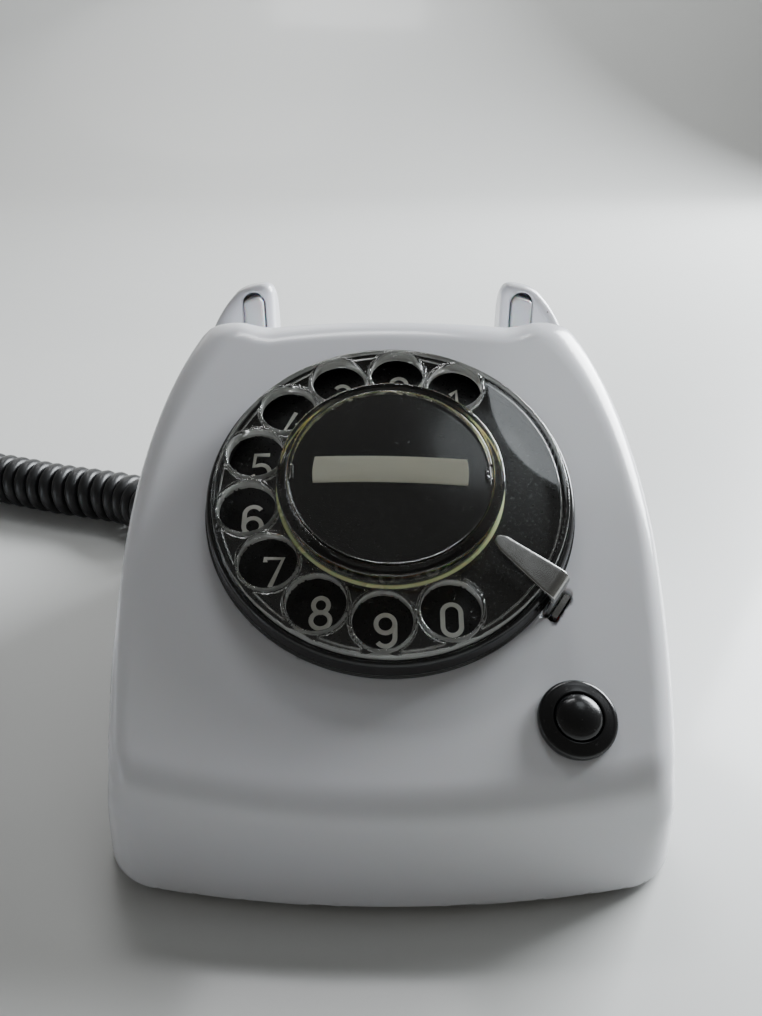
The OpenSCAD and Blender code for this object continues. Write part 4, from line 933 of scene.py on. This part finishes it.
class PhoneDialFace(Operator):
    """Makes the bezel, the number plate, its digits and the frame of the finger stop's slot"""
    bl_idname = "phone.dial_face"
    bl_label = "Dial face"

    def execute(self, context):
        bezel = [(42.4, -2.6), (43.0, -2.6), (43.0, 0), (BEZEL_R, 0), (BEZEL_R, 1.1), (44.15, 1.3),
                 (43.7, BEZEL_H - 0.7), (43.1, BEZEL_H), (42.55, BEZEL_H), (42.4, BEZEL_H - 0.5)]
        wear(revolved("dial_ring", bezel, on_deck, 192, 0.35), "black_plastic", "telephone", "dial_bezel")
        plate = [(8, 0.1), (38.5, 0.1), (38.5, -2.6), (40, -2.6), (40, 0.1), (41.5, 0.1), (41.5, 0.9), (8, 0.9)]
        wear(revolved("number_dish", plate, on_deck, 128, 0.15), "number_face", "telephone", "number_plate")
        for i, a in enumerate(HOLE_ANGLES):
            self.digit(str((i + 1) % 10), HOLE_PITCH*cos(a) + 0.6, HOLE_PITCH*sin(a) + 0.2,
                       context.scene.phone_sizes.digit_height/MM)

        def beside_leg(along, over, h):
            return on_deck(along + 47.3, over, h, STOP_ANGLE)
        foot = rounded_outline(0.72, 3.3, 0.25, 4)
        levels = [(1, 1, -2.4), (1, 1, 0.15), (0.9, 0.97, 0.4)]
        wear(slab("stop_clip", foot, levels, beside_leg), "stop_metal", "telephone")
        return {"FINISHED"}

    def digit(self, text, x, s, height):
        """One digit as a thin raised print, upright on the plate, with its middle at (x, s): each stroke is a
        round rod along its centre line, in a cell 2 wide and 3.4 high, pressed flat."""
        cell, stroke_r, flatness = 3.4, 0.255, 0.08
        curve = bpy.data.curves.new("digit", "CURVE")
        curve.dimensions = "3D"
        curve.bevel_depth = stroke_r
        curve.bevel_resolution = 3
        curve.use_fill_caps = True
        for stroke, closed in digit_strokes(text):
            line = curve.splines.new("POLY")
            line.points.add(len(stroke) - 1)
            line.points.foreach_set("co", np.column_stack([stroke, np.zeros((len(stroke), 2))]).ravel())
            line.use_cyclic_u = closed
        source = bpy.data.objects.new("digit", curve)
        bpy.context.scene.collection.objects.link(source)
        bpy.context.view_layer.update()
        mesh = bpy.data.meshes.new_from_object(source.evaluated_get(bpy.context.evaluated_depsgraph_get()))
        co = np.empty(len(mesh.vertices)*3, np.float32)
        mesh.vertices.foreach_get("co", co)
        co = co.reshape(-1, 3).astype(float)*height/(cell + 2*stroke_r)
        faces = [tuple(p.vertices) for p in mesh.polygons]
        bpy.data.objects.remove(source)
        bpy.data.curves.remove(curve)
        bpy.data.meshes.remove(mesh)
        obj = mesh_piece("digit_" + text, on_deck(x + co[:, 0], s + co[:, 1], 0.92 + co[:, 2]*flatness), faces)
        wear(obj, "digit_print", "telephone", record_slot=False)


def wheel_field(x, s, h):
    """The finger wheel in deck coordinates: a rimmed plate with a raised hub ring and a boss, collars under the
    finger holes, and the holes and the bore taken off."""
    rho = np.hypot(x, s)
    body = soft_max(rho - WHEEL_R, np.abs(h - WHEEL_H + 1.1) - 1.1, 0.9)
    rim = soft_max(np.abs(rho - WHEEL_R + 0.8) - 0.75, np.abs(h - 6.1) - 1.6, 0.5)
    hub = soft_max(np.abs(rho - HUB_R) - HUB_WALL/2, np.maximum(h - HUB_H + 0.6, WHEEL_H - 1 - h), 0.7)
    boss = np.maximum(rho - 7, np.maximum(h - 6.5, 3.7 - h))
    body = np.minimum(soft_min(soft_min(body, rim, 0.4), hub, 0.8), boss)
    holes = None
    for a in HOLE_ANGLES:
        away = np.hypot(x - HOLE_PITCH*cos(a), s - HOLE_PITCH*sin(a))
        ends = np.maximum(h - WHEEL_H - 0.25, WHEEL_H - 3.3 - h)
        body = soft_min(body, soft_max(np.abs(away - HOLE_R - 0.35) - 0.36, ends, 0.4), 0.35)
        holes = HOLE_R - away if holes is None else np.maximum(holes, HOLE_R - away)
    return np.maximum(soft_max(body, holes, 0.5), 3.0 - rho)


def mark_clear(obj):
    """Stores, for each point, how far its normal turns from the deck's (wall, less inside the hub), and how
    near it is to the ring of cement at the hub's foot (amber)."""
    cement_r, cement_h, hub_side_r = 25.5, 8.6, 26.6
    mesh = obj.data
    co, n = (np.empty(len(mesh.vertices)*3, np.float32) for _ in range(2))
    mesh.vertices.foreach_get("co", co)
    mesh.vertices.foreach_get("normal", n)
    x, s, h = deck_of(*(co.reshape(-1, 3).T/MM - np.array([[DIAL[0]], [0], [0]])))
    up = n.reshape(-1, 3)@np.array([0.0, -sin(TILT), cos(TILT)])
    near = np.hypot(np.hypot(x, s) - cement_r, (h - cement_h)*0.6)
    collar = 0.3 + 0.7*smooth((np.hypot(x, s) - hub_side_r)/0.8)
    for name, value in (("wall", (1 - np.abs(up))*collar), ("amber", 1 - smooth((near - 0.6)/1.4))):
        mesh.attributes.new(name, "FLOAT", "POINT").data.foreach_set("value", value.astype(np.float32))


class PhoneFingerWheel(Operator):
    """Makes the clear finger wheel, its hub cap, the black disc and the label strip"""
    bl_idname = "phone.finger_wheel"
    bl_label = "Finger wheel"

    def execute(self, context):
        flat = steps(-43.0, 43.0, 0.5)
        wheel = solid_skin("finger_disc", wheel_field, flat, flat, steps(3.2, 14.0, 0.36), on_deck)
        mark_clear(wheel)
        wear(wheel, "clear_plastic", "dial", "finger_wheel")

        def cap_field(x, s, h):
            rho = np.hypot(x, s)
            disc = soft_max(rho - 23.55, np.maximum(h - HUB_H, HUB_H - 1.25 - h), 0.5)
            notch = np.minimum(1.6 - np.abs(s), np.minimum(np.abs(x) - 22.4, h - HUB_H + 0.8))
            return soft_max(disc, notch, 0.3)
        flat = steps(-26.5, 26.5, 0.45)
        cap = solid_skin("hub_window", cap_field, flat, flat, steps(12.5, 14.6, 0.3), on_deck)
        mark_clear(cap)
        wear(cap, "clear_plastic", "dial", "hub_cap")
        bead = [(26.15, 7.95), (26.9, 7.95), (26.75, 8.3), (26.15, 8.75)]
        wear(revolved("hub_cement", bead, on_deck, 128, 0.12), "cement", "dial", record_slot=False)
        disc = [(0, 9.3), (8, 9.3), (8, 11.8), (23.1, 11.8), (23.1, 12.45), (0, 12.45)]
        wear(revolved("label_backing", disc, on_deck, 128, 0.2), "black_plastic", "dial", "label_disc")
        half_length, half_height = 18.0, 3.55

        def place(x, s, h):
            """The card's edges follow a shallow arch, and it lies a little askew."""
            return on_deck(x, s + 1.1 - 0.0018*x*x, h, radians(-1.4))
        rise = np.linspace(-half_height, half_height, 9)
        end = np.stack([half_length - 0.025*rise**2, rise], -1)
        edge = np.stack([np.linspace(17.5, -17.5, 24), np.full(24, half_height)], -1)
        card = np.concatenate([end, edge, -end, -edge])
        levels = [(0.995, 0.97, 12.5), (1, 1, 12.54), (1, 1, 12.74), (0.996, 0.975, 12.79)]
        wear(slab("label_card", card, levels, place), "label_paper", "dial", "label_strip")
        return {"FINISHED"}


class PhoneFingerStop(Operator):
    """Makes the bent metal finger stop"""
    bl_idname = "phone.finger_stop"
    bl_label = "Finger stop"

    def execute(self, context):
        bend_at_r, bend_at_h, bend_r, half = 43.6, 6.8, 2.1, 0.6

        def field(r, w, h):
            """Distance to the bent centre line in the (r, h) plane less half the thickness, cut at the sides,
            which close in on the tip, and at the foot."""
            bend = np.hypot(np.maximum(r - bend_at_r, 0), np.maximum(h - bend_at_h, 0)) - bend_r
            leg = np.maximum(np.abs(r - bend_at_r - bend_r) - half, h - bend_at_h)
            tongue = np.maximum(np.abs(h - bend_at_h - bend_r) - half, r - bend_at_r)
            curve = np.maximum(np.abs(bend) - half, np.maximum(bend_at_r - r, bend_at_h - h))
            strip = np.minimum(np.minimum(leg, tongue), curve)
            upper = w - 3.45
            lower = (-3.6 - w) + np.maximum(43.5 - r, 0)*0.238
            tip = np.maximum((27.3 - r)*0.86 - (1.7 - w)*0.52, (27.9 - r)*0.8 + (0.9 - w)*0.6)
            wide = round_max(round_max(upper, lower*0.973, 0.6), tip, 1.3)
            return soft_max(soft_max(strip, wide, 0.4), -4.6 - h, 0.3)

        def place(r, w, h):
            return on_deck(r, w, h, STOP_ANGLE)
        lines = steps(27.8, 47.2, 0.3), steps(-4.2, 4.2, 0.3), steps(-5.2, 10.0, 0.24)
        wear(solid_skin("stop_finger", field, *lines, place), "stop_metal", "telephone", "finger_stop")
        return {"FINISHED"}


class PhoneButton(Operator):
    """Makes the earth button and its bezel"""
    bl_idname = "phone.button"
    bl_label = "Earth button"

    def execute(self, context):
        def place(x, s, h):
            return on_deck(x + BUTTON[0], s + BUTTON[1], h)
        a = np.linspace(0, pi/2, 9)
        edge = np.stack([7.2 + 1.2*np.cos(a), 1.1 + 1.1*np.sin(a)], -1).tolist()
        ring = [(5.2, -4.1), (6.9, -4.1), (6.9, 0), (8.4, 0)] + edge + [(5.5, 2.75), (5.2, 2.6)]
        wear(revolved("button_ring", ring, place, 96, 0.25), "black_plastic", "telephone", "button_bezel")
        cap = np.stack([5.1*np.cos(a), 2.1 + 2.5*np.sin(a)], -1).tolist()
        push = [(0, -10.8), (1.6, -10.8), (1.6, -5.8), (6.2, -5.8), (6.2, -4.2), (5.1, -4.2)] + cap[:-1] + [(0, 4.6)]
        wear(revolved("button_top", push, place, 96, 0.2), "black_plastic", "button", "earth_button")
        return {"FINISHED"}


class PhonePlungers(Operator):
    """Makes the two translucent hook plungers in the horns"""
    bl_idname = "phone.plungers"
    bl_label = "Hook plungers"

    def execute(self, context):
        lines = steps(-4.0, 4.0, 0.4), steps(-3.6, 3.6, 0.4), steps(45.6, 97.0, 0.8, ((88.0, 97.0, 0.4),))
        for name, side in (("plunger_left", -1), ("plunger_right", 1)):
            def field(x, y, z, side=side, half_w=3.2, half_d=2.9):
                """A bar with an arched top that slants down outwards, and a flute behind."""
                across = np.hypot(x, np.maximum(z - PLUNGER_TOP + half_w, 0)) - half_w
                bar = soft_max(across, np.abs(y) - half_d, 1.1)
                flute = np.minimum(np.abs(x) - half_w/2, np.minimum(y - 1, np.minimum(z - 55, 85 - z)))
                slant = z - PLUNGER_TOP + 0.1 + 0.3*(x*side + half_w)
                return soft_max(soft_max(soft_max(bar, slant, 0.8), 46.4 - z, 0.3), flute, 0.3)

            def place(x, y, z, shift=side*PLUNGER_X):
                return points_of(x + shift, y + PLUNGER_Y, z)
            nodes = ("hook_plungers",) if side < 0 else ()
            wear(solid_skin(name, field, *lines, place), "hook_plastic", "hook", *nodes)
        return {"FINISHED"}


# ---------------------------------------------------------------- handset and glands

def handset_field(x, y, z):
    """Two cups with superellipse domes and a grip along a circle, run together over 11 mm, with the spaces of
    the capsules and of the bush taken off."""
    cups = []
    for centre, r in ((MOUTH_Y, MOUTH_R), (EAR_Y, EAR_R)):
        rho = np.hypot(x, y - centre)
        dome = ((rho/(r - 0.6))**2.6 + (np.maximum(z - 13, 0)/20.6)**2.6 + 1e-9)**(1/2.6) - 1
        cups.append(dome*(r - 0.6))
    middle = (MOUTH_Y + EAR_Y)/2
    arc_r, arc_below, half_h, half_w, half_length = 162.1, 112.1, 9.8, 13.3, 86
    bend = np.hypot(y - middle, z + arc_below) - arc_r
    width = half_w + 3.2*((y - middle)/78)**2
    grip = ((np.abs(bend)/half_h)**2.7 + (np.abs(x)/width)**2.7 + 1e-9)**(1/2.7) - 1
    grip = np.maximum(grip*half_h, np.abs(y - middle) - half_length)
    form = soft_min(soft_min(cups[0], cups[1], 4.0), grip, 11.0)
    form = soft_max(form, 11.1 - z, 0.8)
    for centre, r in ((MOUTH_Y, MOUTH_R), (EAR_Y, EAR_R)):
        space = np.minimum(r - 6.0 - np.hypot(x, y - centre), 21 - z)
        form = np.maximum(form, space)
    return np.maximum(form, np.minimum(4.05 - np.hypot(x, z - BUSH[2]), y - MOUTH_Y))


class PhoneHandset(Operator):
    """Makes the handset's shell and its two perforated caps"""
    bl_idname = "phone.handset"
    bl_label = "Handset"

    def execute(self, context):
        def beside(x, y, z):
            return points_of(x + HANDSET_X, y, z)
        lines = steps(-28.5, 28.5, 1.3), steps(-175.5, 52.5, 1.3), steps(10.2, 61.0, 1.3)
        wear(solid_skin("handset_body", handset_field, *lines, beside), "white_shell", "handset", "handset_shell")
        for name, node, centre, r in (("ear_piece", "ear_cap", EAR_Y, EAR_R),
                                      ("mouth_piece", "mouth_cap", MOUTH_Y, MOUTH_R)):
            def field(x, y, z, r=r):
                """A rounded dish: its face sinks by 1.2 mm to the middle, its inside is open above 3 mm, with
                19 holes."""
                rho = np.hypot(x, y)
                face = 1.2*np.clip(1 - rho/(r - 3), 0, 1)
                form = soft_max(round_max(rho - r, face - z, 3.0), z - 11.0, 0.5)
                form = np.maximum(form, np.minimum(r - 1.8 - rho, z - 3.0))
                angle = np.arctan2(y, x)
                for ring, n, shift in ((0.0, 1, 0.0), (6.0, 6, 0.0), (12.0, 12, pi/12)):
                    turn = np.round((angle - shift)*n/(2*pi))*2*pi/n + shift
                    hole = 1.3 - np.hypot(x - ring*np.cos(turn), y - ring*np.sin(turn))
                    form = soft_max(form, hole, 0.4)
                return form

            def place(x, y, z, centre=centre):
                return beside(x, y + centre, z)
            flat = steps(-r - 1, r + 1, 0.6)
            wear(solid_skin(name, field, flat, flat, steps(-0.7, 11.8, 0.6), place), "white_shell", "handset", node)
        bush = [(0, 0), (4, 0), (4, 6.3), (5, 6.3), (5, 8), (4.6, 9), (4.6, 10), (4.2, 10.3), (4.2, 11.3),
                (4.4, 11.6), (4.3, 12.6), (3.9, 12.9), (3.9, 13.9), (4.0, 14.2), (3.9, 15.2), (3.5, 15.5),
                (3.4, 18), (0, 18)]

        def back(x, y, z):
            return points_of(x + HANDSET_X, MOUTH_Y + MOUTH_R - 6 + z, BUSH[2] - y)
        wear(revolved("cord_bush", bush, back, 64, 0.2), "rubber", "handset", "handset_bush")
        return {"FINISHED"}


class PhoneGlands(Operator):
    """Makes the grommet of the coiled cord and the tapered relief of the line cord"""
    bl_idname = "phone.glands"
    bl_label = "Cord glands"

    def execute(self, context):
        def left(x, y, z):
            return points_of(CURL_EXIT[0] - z, CURL_EXIT[1] + y, CURL_EXIT[2] + x)

        def back(x, y, z):
            return points_of(LINE_EXIT[0] + x, LINE_EXIT[1] + z, LINE_EXIT[2] - y)
        grommet = [(0, -5), (6, -5), (6, -3.6), (4.4, -3.6), (4.4, 1.4), (5.4, 1.4), (5.4, 2.8), (4.3, 3.4),
                   (4.3, 4.4), (3.9, 4.7), (3.9, 5.7), (3.6, 6), (3.4, 8), (0, 8)]
        wear(revolved("curl_grommet", grommet, left, 64, 0.25), "rubber", "telephone", "curly_grommet")
        ribs = []
        for z in np.arange(4.0, 20.0, 2.4):
            r = 5.0 - (z - 3)*0.108
            ribs += [(r, z), (r, z + 1.3), (r - 0.75, z + 1.55), (r - 0.8, z + 2.2)]
        relief = [(0, -5.4), (5.6, -5.4), (5.6, -3.4), (4.2, -3.4), (4.2, 1.2), (5, 1.2), *ribs, (2.95, 22), (0, 22)]
        wear(revolved("line_relief", relief, back, 64, 0.2), "rubber", "telephone", "line_cord_relief")
        return {"FINISHED"}


class PhoneSprings(Operator):
    """Makes the hook's and the button's return springs"""
    bl_idname = "phone.springs"
    bl_label = "Return springs"

    def execute(self, context):
        foot, head = on_deck(*BUTTON, -15.0), on_deck(*BUTTON, -6.0)
        self.spring("button_return", foot, head, 3.4, 0.35, 4, "button_press", 0.7, "button_spring")
        for name, x, nodes in (("hook_return_left", -SPRING_X, ("hook_springs",)),
                               ("hook_return_right", SPRING_X, ())):
            foot, head = np.array([x, SPRING_Y, SPRING_FOOT]), np.array([x, SPRING_Y, SPRING_HEAD])
            self.spring(name, foot, head, 2.6, 0.4, 6, "hook_press", 0.63, *nodes)
        return {"FINISHED"}

    def spring(self, name, foot, head, radius, wire, turns, joint, keep, *nodes):
        """A helix from foot to head with one more turn, flat, at each end: at turn t its centre line is radius
        from the axis and has risen by 7 parts of a straight climb and 3 parts of an eased one."""
        height = np.linalg.norm(head - foot)
        axis = (head - foot)/height
        side = np.array([1.0, 0.0, 0.0])
        t = np.linspace(0, turns + 2, 40*(turns + 2))
        climb = 0.3*smooth((t - 0.7)/(turns + 0.6)) + 0.7*np.clip((t - 0.9)/(turns + 0.2), 0, 1)
        rise = wire + (height - 2*wire)*climb
        a = 2*pi*t
        out = np.cos(a)[:, None]*side + np.sin(a)[:, None]*np.cross(axis, side)
        path = foot + radius*out + rise[:, None]*axis
        coil = tube(name, path, wire, 8, out)
        wear(coil, "steel", "telephone", *nodes)
        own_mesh(coil)


class PhoneWorks(Operator):
    """Gives every construction node that still shows its finish"""
    bl_idname = "phone.works"
    bl_label = "Inner works"

    def execute(self, context):
        slots = {part["node"]: part["material_slot"] for part in frame["record"]["subparts"]}
        for node, obj in frame["nodes"].items():
            if not obj.hide_render:
                obj.data.materials.clear()
                obj.data.materials.append(finish(slots[node]))
        return {"FINISHED"}


PIECES = (PhoneStage, PhoneHandsetCord, PhoneLineCord, PhoneHousing, PhoneDialFace, PhoneFingerWheel, PhoneFingerStop,
          PhoneButton, PhonePlungers, PhoneHandset, PhoneGlands, PhoneSprings, PhoneWorks)


class PhonePanel(Panel):
    """Lists the pieces and their settings"""
    bl_idname = "VIEW3D_PT_phone"
    bl_label = "Telephone"
    bl_space_type = "VIEW_3D"
    bl_region_type = "UI"
    bl_category = "Telephone"

    def draw(self, context):
        for group in (context.scene.phone_colours, context.scene.phone_sizes):
            box = self.layout.box()
            for name in type(group).__annotations__:
                box.prop(group, name)
        for piece in PIECES:
            self.layout.operator(piece.bl_idname)


CLASSES = (PhoneColours, PhoneSizes, *PIECES, PhonePanel)


def register():
    for cls in CLASSES:
        bpy.utils.register_class(cls)
    bpy.types.Scene.phone_colours = PointerProperty(type=PhoneColours)
    bpy.types.Scene.phone_sizes = PointerProperty(type=PhoneSizes)


def unregister():
    del bpy.types.Scene.phone_colours
    del bpy.types.Scene.phone_sizes
    for cls in reversed(CLASSES):
        bpy.utils.unregister_class(cls)


def main():
    register()
    for piece in PIECES:
        group, name = piece.bl_idname.split(".")
        getattr(getattr(bpy.ops, group), name)()


if __name__ == "__main__":
    main()
